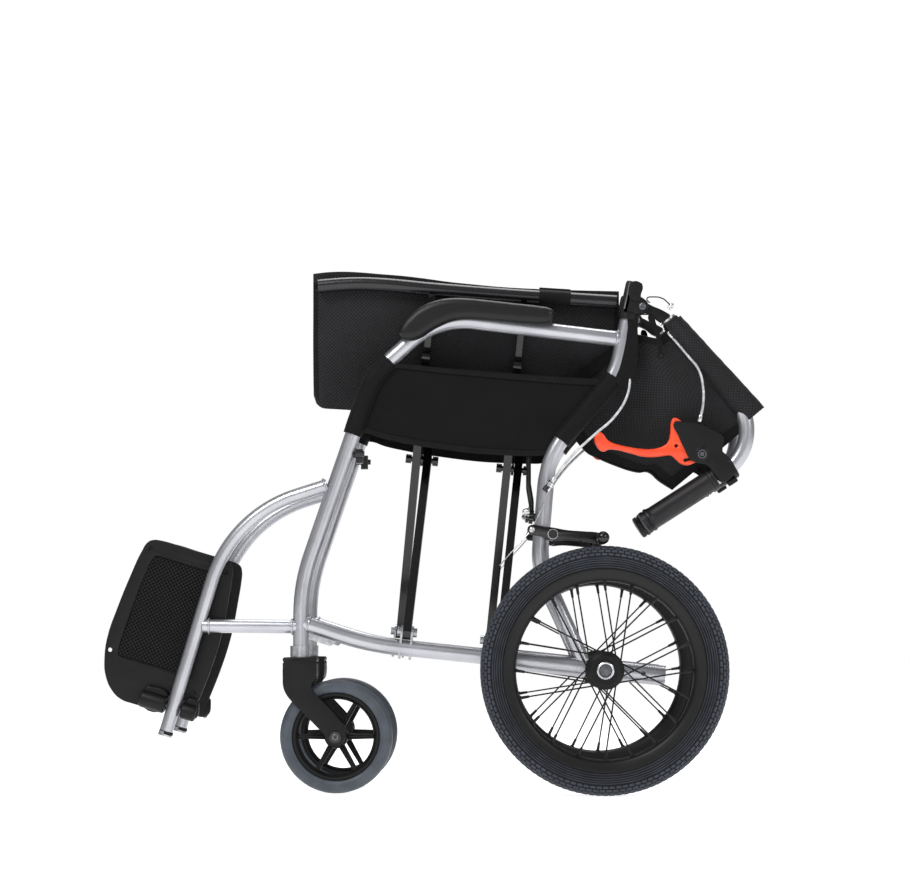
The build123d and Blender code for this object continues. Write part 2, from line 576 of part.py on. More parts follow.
def build():
    hoop, post, rail, leg = side_tubes()
    both_sides("side_hoop", hoop)
    both_sides("back_post", post)
    both_sides("lower_rail", rail)
    both_sides("leg_hanger", leg)
    cross_frame()
    arm, arm_mount = brake_arm(post)
    both_sides("brake_arm", arm)
    link, link_clamp = stay_link(post)
    both_sides("stay_link", link)
    stop = rod((170, -CABLE_Y, 437), (160, -CABLE_Y, 424), 4.5) + rod((166, -CABLE_Y, 430), (166, -FRAME_Y, 425), 3.5)
    stop -= post
    saddle = build_saddle(hoop)
    for name, side, shift in (("left", 1, 0.0), ("right", -1, -TUBE_GAP)):
        solids = frame_hardware(hoop, rail, post, shift)
        hardware = group(*solids, saddle, link_clamp, arm_mount, stop)
        nodes["frame_hardware_" + name] = hardware if side == 1 else mirror(hardware, about=Plane.XZ)
    both_sides("arm_pad", build_arm_pad(hoop))
    both_sides("side_panel", build_side_panel(hoop, post))
    block, pin, head = hinge_parts(post)
    both_sides("hinge_socket", group(block, pin))
    tube, grip = back_parts()
    both_sides("back_tube", tube)
    both_sides("hinge_head", head - tube)
    both_sides("grip", grip)
    bracket, lever_pin, lever = lever_parts(tube)
    both_sides("lever_bracket", group(bracket - grip, lever_pin))
    both_sides("brake_lever", lever)
    both_sides("brake_cable_lower", cable_tube(CABLE_LOWER, -CABLE_Y))
    both_sides("brake_cable_upper", cable_tube(CABLE_UPPER, -CABLE_Y))
    tyre, rim, hub, spokes, axle = rear_wheel()
    both_sides("rear_tyre", tyre)
    both_sides("rear_rim", rim)
    both_sides("rear_hub", hub)
    both_sides("rear_spokes", spokes)
    both_sides("rear_axle", axle)
    tyre, rim = caster_wheel()
    both_sides("caster_tyre", tyre)
    both_sides("caster_rim", rim)
    both_sides("caster_fork", caster_fork())
    both_sides("footplate", footplate())
    nodes["seat_sling_left"] = seat_sling(-1)
    nodes["seat_sling_right"] = seat_sling(1)
    both_sides("back_sling", back_sling())


build()
for name, shape in nodes.items():
    export_step(shape, f"parts/{name}.step")
print(len(nodes), "nodes", Compound(children=list(nodes.values())).bounding_box())
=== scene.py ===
import math

import bmesh
import bpy
from mathutils import Matrix, Vector, noise


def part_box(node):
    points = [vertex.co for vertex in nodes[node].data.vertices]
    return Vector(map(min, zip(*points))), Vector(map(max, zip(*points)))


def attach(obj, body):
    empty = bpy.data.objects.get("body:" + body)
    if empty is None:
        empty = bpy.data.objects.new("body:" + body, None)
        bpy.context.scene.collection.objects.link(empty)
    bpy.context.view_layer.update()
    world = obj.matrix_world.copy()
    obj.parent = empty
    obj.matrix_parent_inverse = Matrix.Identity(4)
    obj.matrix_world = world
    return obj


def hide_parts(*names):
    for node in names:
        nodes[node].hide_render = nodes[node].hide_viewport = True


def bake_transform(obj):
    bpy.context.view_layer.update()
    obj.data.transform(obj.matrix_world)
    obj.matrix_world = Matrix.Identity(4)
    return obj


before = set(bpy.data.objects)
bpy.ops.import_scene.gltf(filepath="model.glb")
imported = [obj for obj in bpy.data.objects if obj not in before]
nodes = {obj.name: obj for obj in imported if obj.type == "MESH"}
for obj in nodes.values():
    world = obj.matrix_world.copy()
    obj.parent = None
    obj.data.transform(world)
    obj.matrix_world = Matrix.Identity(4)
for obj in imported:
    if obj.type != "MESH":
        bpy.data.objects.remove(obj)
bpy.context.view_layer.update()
scene = bpy.context.scene
sides = ("left", "right")
sidePlane = 80.0            # side frame tubes, mm from the middle
across = Vector((0, 1, 0))
upperTube = {  # the back's upper tube as it lies folded: at the hinge, at its bend, and at the grip
    "hingeEnd": Vector((336.6, -sidePlane, 670.4)), "bend": Vector((482.6, -sidePlane, 495.7)),
    "gripEnd": Vector((307.9, -sidePlane, 383.3)),
}


def boxMm(node):
    low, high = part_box(node)
    return low * 1000, high * 1000


def middleMm(node):
    low, high = boxMm(node)
    return (low + high) / 2


# Camera and studio
studio = {
    "cameraAt": (0.1015, -3.638, 0.222),
    "lookAt": (0.032, 0.0, 0.5115),
    "lens": 99.4,
    "floorSize": 14.0, "floorGlow": 0.76, "worldLight": 0.3,
    "lamps": [  # place, aim, size, watts
        ((-1.5, -2.4, 3.0), (0, 0, 0.4), 1.5, 84),
        ((2.5, -2.1, 1.9), (0.1, 0, 0.4), 1.2, 34),
        ((0.2, 1.0, 3.2), (0, 0, 0.3), 2.0, 60),
        ((-0.3, -3.6, 0.4), (0, 0, 0.35), 1.0, 5),
    ],
}

camera = bpy.data.objects.new("camera", bpy.data.cameras.new("camera"))
scene.collection.objects.link(camera)
camera.data.sensor_width = 36.0
camera.data.lens = studio["lens"]
camera.location = studio["cameraAt"]
sight = Vector(studio["lookAt"]) - Vector(studio["cameraAt"])
camera.rotation_euler = sight.to_track_quat("-Z", "Y").to_euler()
scene.camera = camera


# Colours and node helper
def hexColor(code):
    channels = [int(code[i:i + 2], 16) / 255 for i in (0, 2, 4)]
    return (*[c / 12.92 if c <= 0.04045 else ((c + 0.055) / 1.055) ** 2.4 for c in channels], 1.0)


def addNode(tree, kind, settings=None, values=None, links=None, stops=None):
    node = tree.nodes.new("ShaderNode" + kind)
    for name, value in (settings or {}).items():
        setattr(node, name, value)
    for name, value in (values or {}).items():
        node.inputs[name].default_value = value
    for name, source in (links or {}).items():
        tree.links.new(source, node.inputs[name])
    if stops:
        ramp = node.color_ramp.elements
        while len(ramp) < len(stops):
            ramp.new(0.5)
        for element, (place, code) in zip(ramp, stops):
            element.position = place
            element.color = hexColor(code)
    return node


def newFinish(name, constants):
    material = bpy.data.materials.new(name)
    material.use_nodes = True
    tree = material.node_tree
    shader = tree.nodes["Principled BSDF"]
    for socket, value in constants.items():
        shader.inputs[socket].default_value = value
    return material, tree, shader


def surfaceFinish(name, spec):
    # a solid finish: two tones that drift over patchMm, polish that varies, and grain of grainMm
    material, tree, shader = newFinish(name, spec["shader"])
    place = addNode(tree, "TexCoord")
    drift = addNode(tree, "TexNoise", values={"Scale": 1000 / spec["patchMm"], "Detail": 3.0},
                    links={"Vector": place.outputs["Object"]})
    tone = addNode(tree, "ValToRGB", links={"Fac": drift.outputs["Fac"]},
                   stops=[(0.32, spec["tones"][0]), (0.68, spec["tones"][1])])
    tree.links.new(tone.outputs["Color"], shader.inputs["Base Color"])
    grain = addNode(tree, "TexNoise", links={"Vector": place.outputs["Object"]},
                    values={"Scale": 1000 / spec["grainMm"], "Detail": 2.0, "Roughness": 0.6})
    smooth, dull = spec["polish"]
    polish = addNode(tree, "MapRange", links={"Value": grain.outputs["Fac"]},
                     values={"From Min": 0.3, "From Max": 0.7, "To Min": smooth, "To Max": dull})
    tree.links.new(polish.outputs["Result"], shader.inputs["Roughness"])
    bump = addNode(tree, "Bump", values={"Strength": spec["depth"], "Distance": 0.0002},
                   links={"Height": grain.outputs["Fac"]})
    tree.links.new(bump.outputs["Normal"], shader.inputs["Normal"])
    return material


def clothFinish(name, spec):
    # threads cross at spacingMm along the piece's own cloth map, or over the object where it has none
    material, tree, shader = newFinish(name, spec["shader"])
    place = addNode(tree, "TexCoord")
    source = place.outputs["UV" if spec["mapped"] else "Object"]
    turned = addNode(tree, "Mapping", values={"Rotation": spec["turn"]}, links={"Vector": source})
    if spec["holes"]:
        knit = addNode(tree, "TexVoronoi", settings={"feature": "F1"},
                       values={"Scale": 1000 / spec["spacingMm"], "Randomness": 0.0},
                       links={"Vector": turned.outputs["Vector"]})
        height = knit.outputs["Distance"]
    else:
        part = addNode(tree, "SeparateXYZ", links={"Vector": turned.outputs["Vector"]})
        waves = []
        for axis in spec["axes"]:
            count = addNode(tree, "Math", settings={"operation": "MULTIPLY"}, links={0: part.outputs[axis]},
                            values={1: 2 * math.pi * 1000 / spec["spacingMm"]})
            waves.append(addNode(tree, "Math", settings={"operation": "SINE"}, links={0: count.outputs[0]}))
        weave = addNode(tree, "Math", settings={"operation": "MULTIPLY"},
                        links={0: waves[0].outputs[0], 1: waves[1].outputs[0]})
        lifted = addNode(tree, "MapRange", values={"From Min": -1.0, "From Max": 1.0},
                         links={"Value": weave.outputs[0]})
        height = lifted.outputs["Result"]
    tone = addNode(tree, "ValToRGB", links={"Fac": height}, stops=spec["tones"])
    drift = addNode(tree, "TexNoise", values={"Scale": 1000 / spec["patchMm"], "Detail": 3.0},
                    links={"Vector": place.outputs["Object"]})
    fade = addNode(tree, "ValToRGB", links={"Fac": drift.outputs["Fac"]},
                   stops=[(0.3, "b4b4b6"), (0.7, "ffffff")])
    mixed = addNode(tree, "Mix", settings={"data_type": "RGBA", "blend_type": "MULTIPLY"}, values={0: 1.0},
                    links={6: tone.outputs["Color"], 7: fade.outputs["Color"]})
    tree.links.new(mixed.outputs[2], shader.inputs["Base Color"])
    bump = addNode(tree, "Bump", values={"Strength": spec["depth"], "Distance": spec["spacingMm"] / 4000},
                   links={"Height": height})
    tree.links.new(bump.outputs["Normal"], shader.inputs["Normal"])
    return material


def fittingsFinish(name, spec):
    # two steels in one finish: plated on the lower frame, stoved above changeHeight, in metres
    material, tree, shader = newFinish(name, spec["shader"])
    place = addNode(tree, "TexCoord")
    height = addNode(tree, "SeparateXYZ", links={"Vector": place.outputs["Object"]})
    isLow = addNode(tree, "Math", settings={"operation": "LESS_THAN"}, values={1: spec["changeHeight"]},
                    links={0: height.outputs["Z"]})
    tree.links.new(isLow.outputs[0], shader.inputs["Metallic"])
    cloud = addNode(tree, "TexNoise", values={"Scale": 1000 / spec["patchMm"], "Detail": 3.0},
                    links={"Vector": place.outputs["Object"]})
    tones = [addNode(tree, "ValToRGB", links={"Fac": cloud.outputs["Fac"]},
                     stops=[(0.3, spec[which][0]), (0.7, spec[which][1])]) for which in ("stoved", "plated")]
    either = addNode(tree, "Mix", settings={"data_type": "RGBA"},
                     links={0: isLow.outputs[0], 6: tones[0].outputs["Color"], 7: tones[1].outputs["Color"]})
    tree.links.new(either.outputs[2], shader.inputs["Base Color"])
    return material


finishes = {
    # two-layer metallic lacquer on aluminium tube: soft sparkle under clear coat
    "silverLacquer": {
        "tones": ("a4a5ab", "b3b4b9"), "patchMm": 60, "grainMm": 1.2, "polish": (0.27, 0.38), "depth": 0.07,
        "shader": {"Metallic": 0.85, "Coat Weight": 0.3, "Coat Roughness": 0.14}},
    # gloss black stoving enamel on steel: deep, with a slight orange peel
    "blackEnamel": {
        "tones": ("050506", "09090b"), "patchMm": 40, "grainMm": 3.0, "polish": (0.16, 0.26), "depth": 0.1,
        "shader": {"IOR": 1.5, "Specular IOR Level": 0.4, "Coat Weight": 0.15, "Coat Roughness": 0.1}},
    # satin powder coat, near black with a violet cast where light falls on it
    "greyPowder": {
        "tones": ("0b0b0e", "121217"), "patchMm": 50, "grainMm": 1.0, "polish": (0.24, 0.32), "depth": 0.1,
        "shader": {"IOR": 1.5}},
    # bright zinc plate on steel fittings: slightly cloudy
    "zincPlate": {
        "tones": ("b4b5b8", "cfd0d2"), "patchMm": 9, "grainMm": 1.0, "polish": (0.22, 0.38), "depth": 0.06,
        "shader": {"Metallic": 1.0}},
    # glass-filled nylon, spark-eroded mould: fine matt grain
    "mouldedNylon": {
        "tones": ("060607", "0b0b0d"), "patchMm": 25, "grainMm": 0.8, "polish": (0.42, 0.55), "depth": 0.25,
        "shader": {"IOR": 1.53, "Specular IOR Level": 0.22}},
    # polyurethane integral-skin foam: leathery skin with low sheen
    "skinFoam": {
        "tones": ("050506", "09090b"), "patchMm": 30, "grainMm": 1.6, "polish": (0.36, 0.5), "depth": 0.35,
        "shader": {"IOR": 1.5, "Specular IOR Level": 0.32}},
    # pigmented satin nylon, orange red all through
    "orangeNylon": {
        "tones": ("e23f17", "ee4f22"), "patchMm": 35, "grainMm": 1.0, "polish": (0.3, 0.42), "depth": 0.12,
        "shader": {"IOR": 1.53, "Subsurface Weight": 0.03}},
    # soft thermoplastic rubber sleeve: dull with a violet cast
    "gripRubber": {
        "tones": ("0b0a0d", "121116"), "patchMm": 30, "grainMm": 0.9, "polish": (0.42, 0.52), "depth": 0.25,
        "shader": {"IOR": 1.5, "Specular IOR Level": 0.35}},
    # natural rubber tyre with a slate pigment: dusty, dry
    "slateTyre": {
        "tones": ("262933", "343843"), "patchMm": 18, "grainMm": 1.1, "polish": (0.62, 0.8), "depth": 0.3,
        "shader": {"IOR": 1.5}},
    # the same rubber in the grooves, darkened as painted shade where no light reaches
    "shadedGrooveRubber": {
        "tones": ("07080a", "0d0e12"), "patchMm": 18, "grainMm": 1.1, "polish": (0.6, 0.75), "depth": 0.2,
        "shader": {"IOR": 1.5, "Specular IOR Level": 0.25}},
    # solid polyurethane caster tread: smoother than the rubber
    "casterTread": {
        "tones": ("343a42", "444b54"), "patchMm": 22, "grainMm": 1.4, "polish": (0.45, 0.6), "depth": 0.15,
        "shader": {"IOR": 1.5}},
    # anodised black rim, dull
    "blackAnodised": {
        "tones": ("040405", "09090b"), "patchMm": 30, "grainMm": 0.9, "polish": (0.38, 0.5), "depth": 0.12,
        "shader": {"Specular IOR Level": 0.3}},
    # passivated steel nut: dark and dull
    "dullSteel": {
        "tones": ("55575b", "6e7075"), "patchMm": 8, "grainMm": 0.9, "polish": (0.36, 0.5), "depth": 0.1,
        "shader": {"Metallic": 0.9}},
    # silver pigmented liner on cable housing
    "cableJacket": {
        "tones": ("9a9c9f", "c3c5c7"), "patchMm": 7, "grainMm": 1.5, "polish": (0.3, 0.45), "depth": 0.2,
        "shader": {"Metallic": 0.35, "IOR": 1.5}},
    # black polyester binding tape: dull ribbed edge
    "bindingTape": {
        "tones": ("040405", "09090a"), "patchMm": 12, "grainMm": 1.3, "polish": (0.6, 0.75), "depth": 0.5,
        "shader": {"Specular IOR Level": 0.15, "Sheen Weight": 0.03}},
    # bonded nylon thread, a little lighter than its cloth
    "seamThread": {
        "tones": ("0f0f12", "1a1a1e"), "patchMm": 6, "grainMm": 0.7, "polish": (0.5, 0.65), "depth": 0.4,
        "shader": {"Specular IOR Level": 0.25}},
}
finish = {name: surfaceFinish(name, spec) for name, spec in finishes.items()}

# steel fittings: cloudy zinc plate low down, black stoving enamel above
finish["fittings"] = fittingsFinish("fittings", {
    "stoved": ("060607", "0d0d10"), "plated": ("8f9195", "b9babd"), "patchMm": 25 / 3, "changeHeight": 0.3,
    "shader": {"Roughness": 0.32}})
# plain-woven 600 denier nylon: threads 0.6 mm apart in the real cloth, drawn at 1.3 mm so that they show
finish["wovenNylon"] = clothFinish("wovenNylon", {
    "mapped": True, "holes": False, "axes": ("X", "Y"), "turn": (0, 0, 0), "spacingMm": 1.3, "depth": 0.35,
    "tones": [(0.2, "040405"), (0.8, "0c0c0e")], "patchMm": 45,
    "shader": {"Roughness": 0.75, "Specular IOR Level": 0.15, "Sheen Weight": 0.02, "Sheen Roughness": 0.5}})
# knitted spacer mesh: round eyes on a slant, 3 mm apart in the real cloth, drawn at 3.8 mm so that they show
finish["spacerMesh"] = clothFinish("spacerMesh", {
    "mapped": True, "holes": True, "turn": (0, 0, math.radians(45)), "spacingMm": 3.8, "depth": 1.0,
    "tones": [(0.16, "010101"), (0.34, "050506"), (0.56, "232328")], "patchMm": 60,
    "shader": {"Roughness": 0.62, "Specular IOR Level": 0.25, "Sheen Weight": 0.03, "Sheen Roughness": 0.4}})
print("finishes made")


# Mesh helpers, all in millimetres
def putSpline(data, points, cyclic):
    spline = data.splines.new("BEZIER")
    spline.bezier_points.add(len(points) - 1)
    for knot, point in zip(spline.bezier_points, points):
        knot.co = point[:3]
        knot.handle_left_type = knot.handle_right_type = "AUTO"
    spline.use_cyclic_u = cyclic


def readCurve(data):
    holder = bpy.data.objects.new("holder", data)
    mesh = bpy.data.meshes.new_from_object(holder)
    bm = bmesh.new()
    bm.from_mesh(mesh)
    bpy.data.objects.remove(holder)
    bpy.data.meshes.remove(mesh)
    bpy.data.curves.remove(data)
    return bm


def tubeAlong(points, radius, steps=10, sideSteps=4, capped=True):
    data = bpy.data.curves.new("tube", "CURVE")
    data.dimensions = "3D"
    data.resolution_u = steps
    data.bevel_depth = radius
    data.bevel_resolution = sideSteps
    data.use_fill_caps = capped
    putSpline(data, points, False)
    bm = readCurve(data)
    bmesh.ops.remove_doubles(bm, verts=bm.verts, dist=0.001)
    bmesh.ops.recalc_face_normals(bm, faces=bm.faces)
    return bm


def smoothLine(points, steps=10):
    data = bpy.data.curves.new("line", "CURVE")
    data.dimensions = "3D"
    data.resolution_u = steps
    putSpline(data, points, False)
    bm = readCurve(data)
    line = [v.co.copy() for v in bm.verts]
    bm.free()
    return line


def outlinePlate(outline, low, high, edge=1.0, holes=()):
    # a flat outline in the side view, solid from low to high across the chair, with rounded rims
    data = bpy.data.curves.new("outline", "CURVE")
    data.dimensions = "2D"
    data.fill_mode = "BOTH"
    data.resolution_u = 5
    data.extrude = (high - low) / 2 - edge
    data.bevel_depth = edge
    data.bevel_resolution = 2
    data.offset = -edge
    for loop in (outline, *holes):
        putSpline(data, [(x, z, 0.0) for x, z in loop], True)
    bm = readCurve(data)
    bmesh.ops.remove_doubles(bm, verts=bm.verts, dist=0.001)
    bmesh.ops.rotate(bm, cent=(0, 0, 0), matrix=Matrix.Rotation(math.pi / 2, 3, "X"), verts=bm.verts)
    bmesh.ops.translate(bm, vec=(0, (low + high) / 2, 0), verts=bm.verts)
    bmesh.ops.recalc_face_normals(bm, faces=bm.faces)
    return bm


def spun(profile, centre, axis=(0, 1, 0), steps=64, closed=False):
    # profile is (along the axis, radius)
    way = Vector(axis).normalized()
    out = way.orthogonal().normalized()
    centre = Vector(centre)
    bm = bmesh.new()
    verts = [bm.verts.new(centre + way * a + out * r) for a, r in profile]
    edges = [bm.edges.new(pair) for pair in zip(verts, verts[1:])]
    if closed:
        edges.append(bm.edges.new((verts[-1], verts[0])))
    bmesh.ops.spin(bm, geom=verts + edges, cent=centre, axis=way, angle=2 * math.pi, steps=steps,
                   use_merge=True)
    bmesh.ops.remove_doubles(bm, verts=bm.verts, dist=0.001)
    bmesh.ops.recalc_face_normals(bm, faces=bm.faces)
    return bm


def roundedBlock(size, edge, matrix, segments=3):
    bm = bmesh.new()
    bmesh.ops.create_cube(bm, size=1.0)
    bmesh.ops.scale(bm, vec=size, verts=bm.verts)
    bmesh.ops.bevel(bm, geom=bm.edges[:], offset=edge, offset_type="OFFSET", affect="EDGES", segments=segments,
                    profile=0.5, material=-1)
    bmesh.ops.transform(bm, matrix=matrix, verts=bm.verts)
    return bm


def ringOf(bm, count, centre, axis=(0, 1, 0)):
    # copies everything so far round the axis
    bmesh.ops.spin(bm, geom=bm.verts[:] + bm.edges[:] + bm.faces[:], cent=centre, axis=axis,
                   angle=2 * math.pi * (count - 1) / count, steps=count - 1, use_duplicate=True)
    return bm


def joined(*parts):
    whole = parts[0]
    for part in parts[1:]:
        spare = bpy.data.meshes.new("spare")
        part.to_mesh(spare)
        part.free()
        whole.from_mesh(spare)
        bpy.data.meshes.remove(spare)
    return whole


def placed(bm, matrix):
    bmesh.ops.transform(bm, matrix=matrix, verts=bm.verts)
    return bm


def turnTo(way, place, roll=(0, 1, 0)):
    # a matrix whose X runs along way and whose Y stays near roll
    x = Vector(way).normalized()
    z = x.cross(Vector(roll)).normalized()
    y = z.cross(x)
    return Matrix.Translation(Vector(place)) @ Matrix((x, y, z)).transposed().to_4x4()


def mirrored(half):
    # a half profile and its mirror image
    return half + [(-a, r) for a, r in reversed(half) if a]


def onCircle(radius, turn, y=0.0):
    # a point on a circle about the Y axis
    return Vector((radius * math.cos(turn), y, radius * math.sin(turn)))


def holeAt(x, z, radius):
    # six points, which the outline's smooth curve makes round
    return [(x + radius * math.cos(t * math.pi / 3), z + radius * math.sin(t * math.pi / 3)) for t in range(6)]


def thickened(bm, thickness):
    bmesh.ops.recalc_face_normals(bm, faces=bm.faces)
    bmesh.ops.solidify(bm, geom=bm.faces[:], thickness=thickness)
    return bm


def domedHead(centre, axis, radius, height):
    # button head with a socket
    h, r = height, radius
    profile = [(0, 0), (0, r), (h * 0.25, r), (h * 0.6, r * 0.9), (h * 0.88, r * 0.7), (h, r * 0.48),
               (h * 0.55, r * 0.4), (h * 0.5, 0)]
    return spun(profile, centre, axis, steps=24)


def dashes(line, step, size, lift=(0, 0, 0)):
    # stitches: short rounded bars laid along a line
    bm = bmesh.new()
    travelled, due = 0.0, step / 2
    for a, b in zip(line, line[1:]):
        span = (b - a).length
        while due <= travelled + span and span > 0:
            at = a.lerp(b, (due - travelled) / span) + Vector(lift)
            matrix = turnTo(b - a, at, (0.01, 0.02, 1)) @ Matrix.Diagonal((*size, 1))
            bmesh.ops.create_icosphere(bm, subdivisions=1, radius=0.5, matrix=matrix)
            due += step
        travelled += span
    return bm


def makePiece(bm, name, material, body, replaced=(), angle=35):
    bmesh.ops.scale(bm, vec=(0.001, 0.001, 0.001), verts=bm.verts)
    mesh = bpy.data.meshes.new(name)
    bm.to_mesh(mesh)
    bm.free()
    mesh.polygons.foreach_set("use_smooth", [True] * len(mesh.polygons))
    mesh.set_sharp_from_angle(angle=math.radians(angle))
    mesh.materials.append(finish[material])
    piece = bpy.data.objects.new(name, mesh)
    scene.collection.objects.link(piece)
    if body:
        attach(piece, body)
    if replaced:
        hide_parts(*replaced)
    return piece


def bothSides(bm, name, material, body, replaced=(), angle=35):
    made = []
    for side in sides:
        copy = bm.copy()
        if side == "right":
            bmesh.ops.scale(copy, vec=(1, -1, 1), verts=copy.verts)
            bmesh.ops.reverse_faces(copy, faces=copy.faces[:])
        made.append(makePiece(copy, f"{name}_{side}", material, f"{body}_{side}",
                              [f"{node}_{side}" for node in replaced], angle))
    bm.free()
    return made


def addModifier(piece, kind, **settings):
    made = piece.modifiers.new(kind.lower(), kind)
    for key, value in settings.items():
        setattr(made, key, value)
    return made


# Rear wheel
rearWheel = {
    "tyreProfile": mirrored([(0, 139.2), (-13.2, 139.5), (-14.6, 142), (-18.4, 148), (-21.2, 155),
                             (-21.6, 160), (-19.6, 165), (-15.6, 168.2), (-8.5, 170.2), (0, 170.8)]),
    "treadBlocks": 112,     # in each row
    "treadRows": [          # offset, radius, width, length, height, start share on the left, lean
        (3.0, 170.6, 5.0, 8.3, 3.6, 0.0, -4), (9.0, 169.6, 5.0, 8.2, 3.8, 0.5, 14),
        (14.6, 167.6, 4.6, 8.1, 4.0, 0.0, 32), (18.6, 164.4, 4.0, 7.9, 4.0, 0.5, 52),
        (21.0, 160.2, 3.4, 7.6, 3.0, 0.0, 74)],
    "sideRibs": ((155.4, 21.3), (152.6, 20.5), (149.6, 19.2), (146.4, 17.3), (143.2, 15.3)),  # radius, offset
    "rimProfile": mirrored([(-13.6, 140.6), (-14.6, 140.4), (-14.8, 137.5), (-13.2, 134), (-12.6, 129),
                            (-10, 125.2), (-5, 123), (0, 122.6)]),
    "spokes": 20, "spokeSlant": 52.0, "hubHole": 22.0, "flange": 19.9, "rimHole": 124.5, "axleFace": 33.6,
    "hubProfile": [(-26, 11), (-26, 20), (-24, 22.5), (-22, 25.5), (-20.8, 26.5), (-18.6, 26.5),
                   (-17.4, 25), (-16.4, 17), (-13, 14.5), (13, 14.5), (16.4, 17), (17.4, 25), (18.6, 26.5),
                   (20.8, 26.5), (22, 25.5), (24, 18), (28, 14), (33.6, 12.5), (33.6, 7)],
}


def makeRearWheel():
    spec = rearWheel
    centre = middleMm("rear_tyre_left")
    tyre = spun(spec["tyreProfile"], centre, steps=160, closed=True)
    # the tyre body takes the groove rubber, painted near black as shade under the tread blocks
    bothSides(tyre, "tyre_body", "shadedGrooveRubber", "wheel", ["rear_tyre"], 30)
    tread = bmesh.new()
    for offset, r, wide, long, high, start, lean in spec["treadRows"]:
        for way in (-1, 1):
            turn = 2 * math.pi * (start if way < 0 else 0.5 - start) / spec["treadBlocks"]
            matrix = (Matrix.Translation(centre) @ Matrix.Rotation(turn, 4, "Y")
                      @ Matrix.Translation((0, way * offset, r))
                      @ Matrix.Rotation(math.radians(-way * lean), 4, "X"))
            block = roundedBlock((long, wide, high), 0.9, matrix, segments=1)
            tread = joined(tread, ringOf(block, spec["treadBlocks"], centre))
    for r, offset in spec["sideRibs"]:
        for y in (-offset, offset):
            rib = [(y - 0.9, r), (y, r + 0.8), (y + 0.9, r), (y, r - 0.8)]
            tread = joined(tread, spun(rib, centre, steps=120, closed=True))
    bothSides(tread, "tyre_tread", "slateTyre", "wheel", (), 30)
    rim = spun(spec["rimProfile"], centre, steps=128, closed=True)
    bothSides(rim, "wheel_rim", "blackAnodised", "wheel", ["rear_rim"])
    hub = spun(spec["hubProfile"], centre, steps=48, closed=True)
    for k in range(10):                             # spoke heads on each flange
        for way in (-1, 1):
            turn = 2 * math.pi * (k + (0.25 if way > 0 else 0)) / 10
            at = centre + onCircle(spec["hubHole"], turn, way * (spec["flange"] + 1.5))
            head = spun([(-1.2, 0), (-1.2, 2.6), (0.6, 2.6), (1.2, 1.6), (1.2, 0)], at, (0, way, 0), 10)
            hub = joined(hub, head)
    bothSides(hub, "wheel_hub", "mouldedNylon", "wheel", ["rear_hub"])
    nipples = bmesh.new()
    for k in range(spec["spokes"]):
        way = 1 if k % 2 else -1
        slant = spec["spokeSlant"] if (k // 2) % 2 else -spec["spokeSlant"]
        atRim = math.radians(360.0 / spec["spokes"] * k)
        start = centre + onCircle(spec["hubHole"], atRim + math.radians(slant), way * spec["flange"])
        end = centre + onCircle(spec["rimHole"], atRim, way * 2.5)
        nipple = spun([(-14, 0), (-14, 1.9), (-3, 2.3), (-2.5, 3.2), (1, 3.4), (1, 0)], end, end - start, 12)
        nipples = joined(nipples, nipple)
    bothSides(nipples, "spoke_nipples", "blackAnodised", "wheel")
    face = centre - across * spec["axleFace"]
    washer = spun([(0, 8.4), (0, 11.6), (-1.2, 12.2), (-2.6, 11.8), (-3.4, 10.6), (-3.2, 9.2), (-2, 8.4)],
                  face, (0, 1, 0), 48, closed=True)
    bothSides(washer, "axle_washer", "zincPlate", "side")
    nut = spun([(0, 0), (0, 8.3), (-2.6, 8.3), (-3.4, 7.4), (-3.4, 0)], face, (0, 1, 0), 6)
    nut = joined(nut, spun([(-3, 0), (-3, 4.4), (-5.4, 4.4), (-6, 3.8), (-6, 0)], face, (0, 1, 0), 24))
    bothSides(nut, "axle_nut", "dullSteel", "side")


makeRearWheel()
print("rear wheels made")


# Caster
caster = {
    "tread": mirrored([(-9.8, 61.2), (-13.4, 62.5), (-15.4, 66), (-16, 70.5), (-14.6, 75), (-11.4, 78),
                       (-6, 79.3), (-0.7, 79.5), (0, 79.2)]),
    "rim": mirrored([(-10, 61.5), (-11.4, 60.6), (-11.4, 57), (-9.6, 55), (-5, 52.8), (0, 52.2)]),
    "hub": mirrored([(-15.6, 5.4), (-15.6, 10), (-14.4, 13.2), (-12, 15.6), (-9, 16.6)]),
    "spokes": 6, "spokeMiddle": 34.0, "legInside": 18.6, "legOutside": 25.0, "stemX": -184.1,
    "forkLeg": [(-206.5, 184), (-207.8, 176), (-207.8, 162), (-207.3, 151), (-204, 141), (-196, 130),
                (-171, 105), (-147, 80.5), (-141, 74), (-132, 69.5), (-123.4, 72), (-118.6, 81),
                (-119.8, 93), (-127, 103), (-150, 128), (-163.6, 142), (-167.4, 148.5), (-166, 154.6),
                (-161.8, 160), (-160.4, 168), (-160.4, 178), (-161.4, 184)],
}


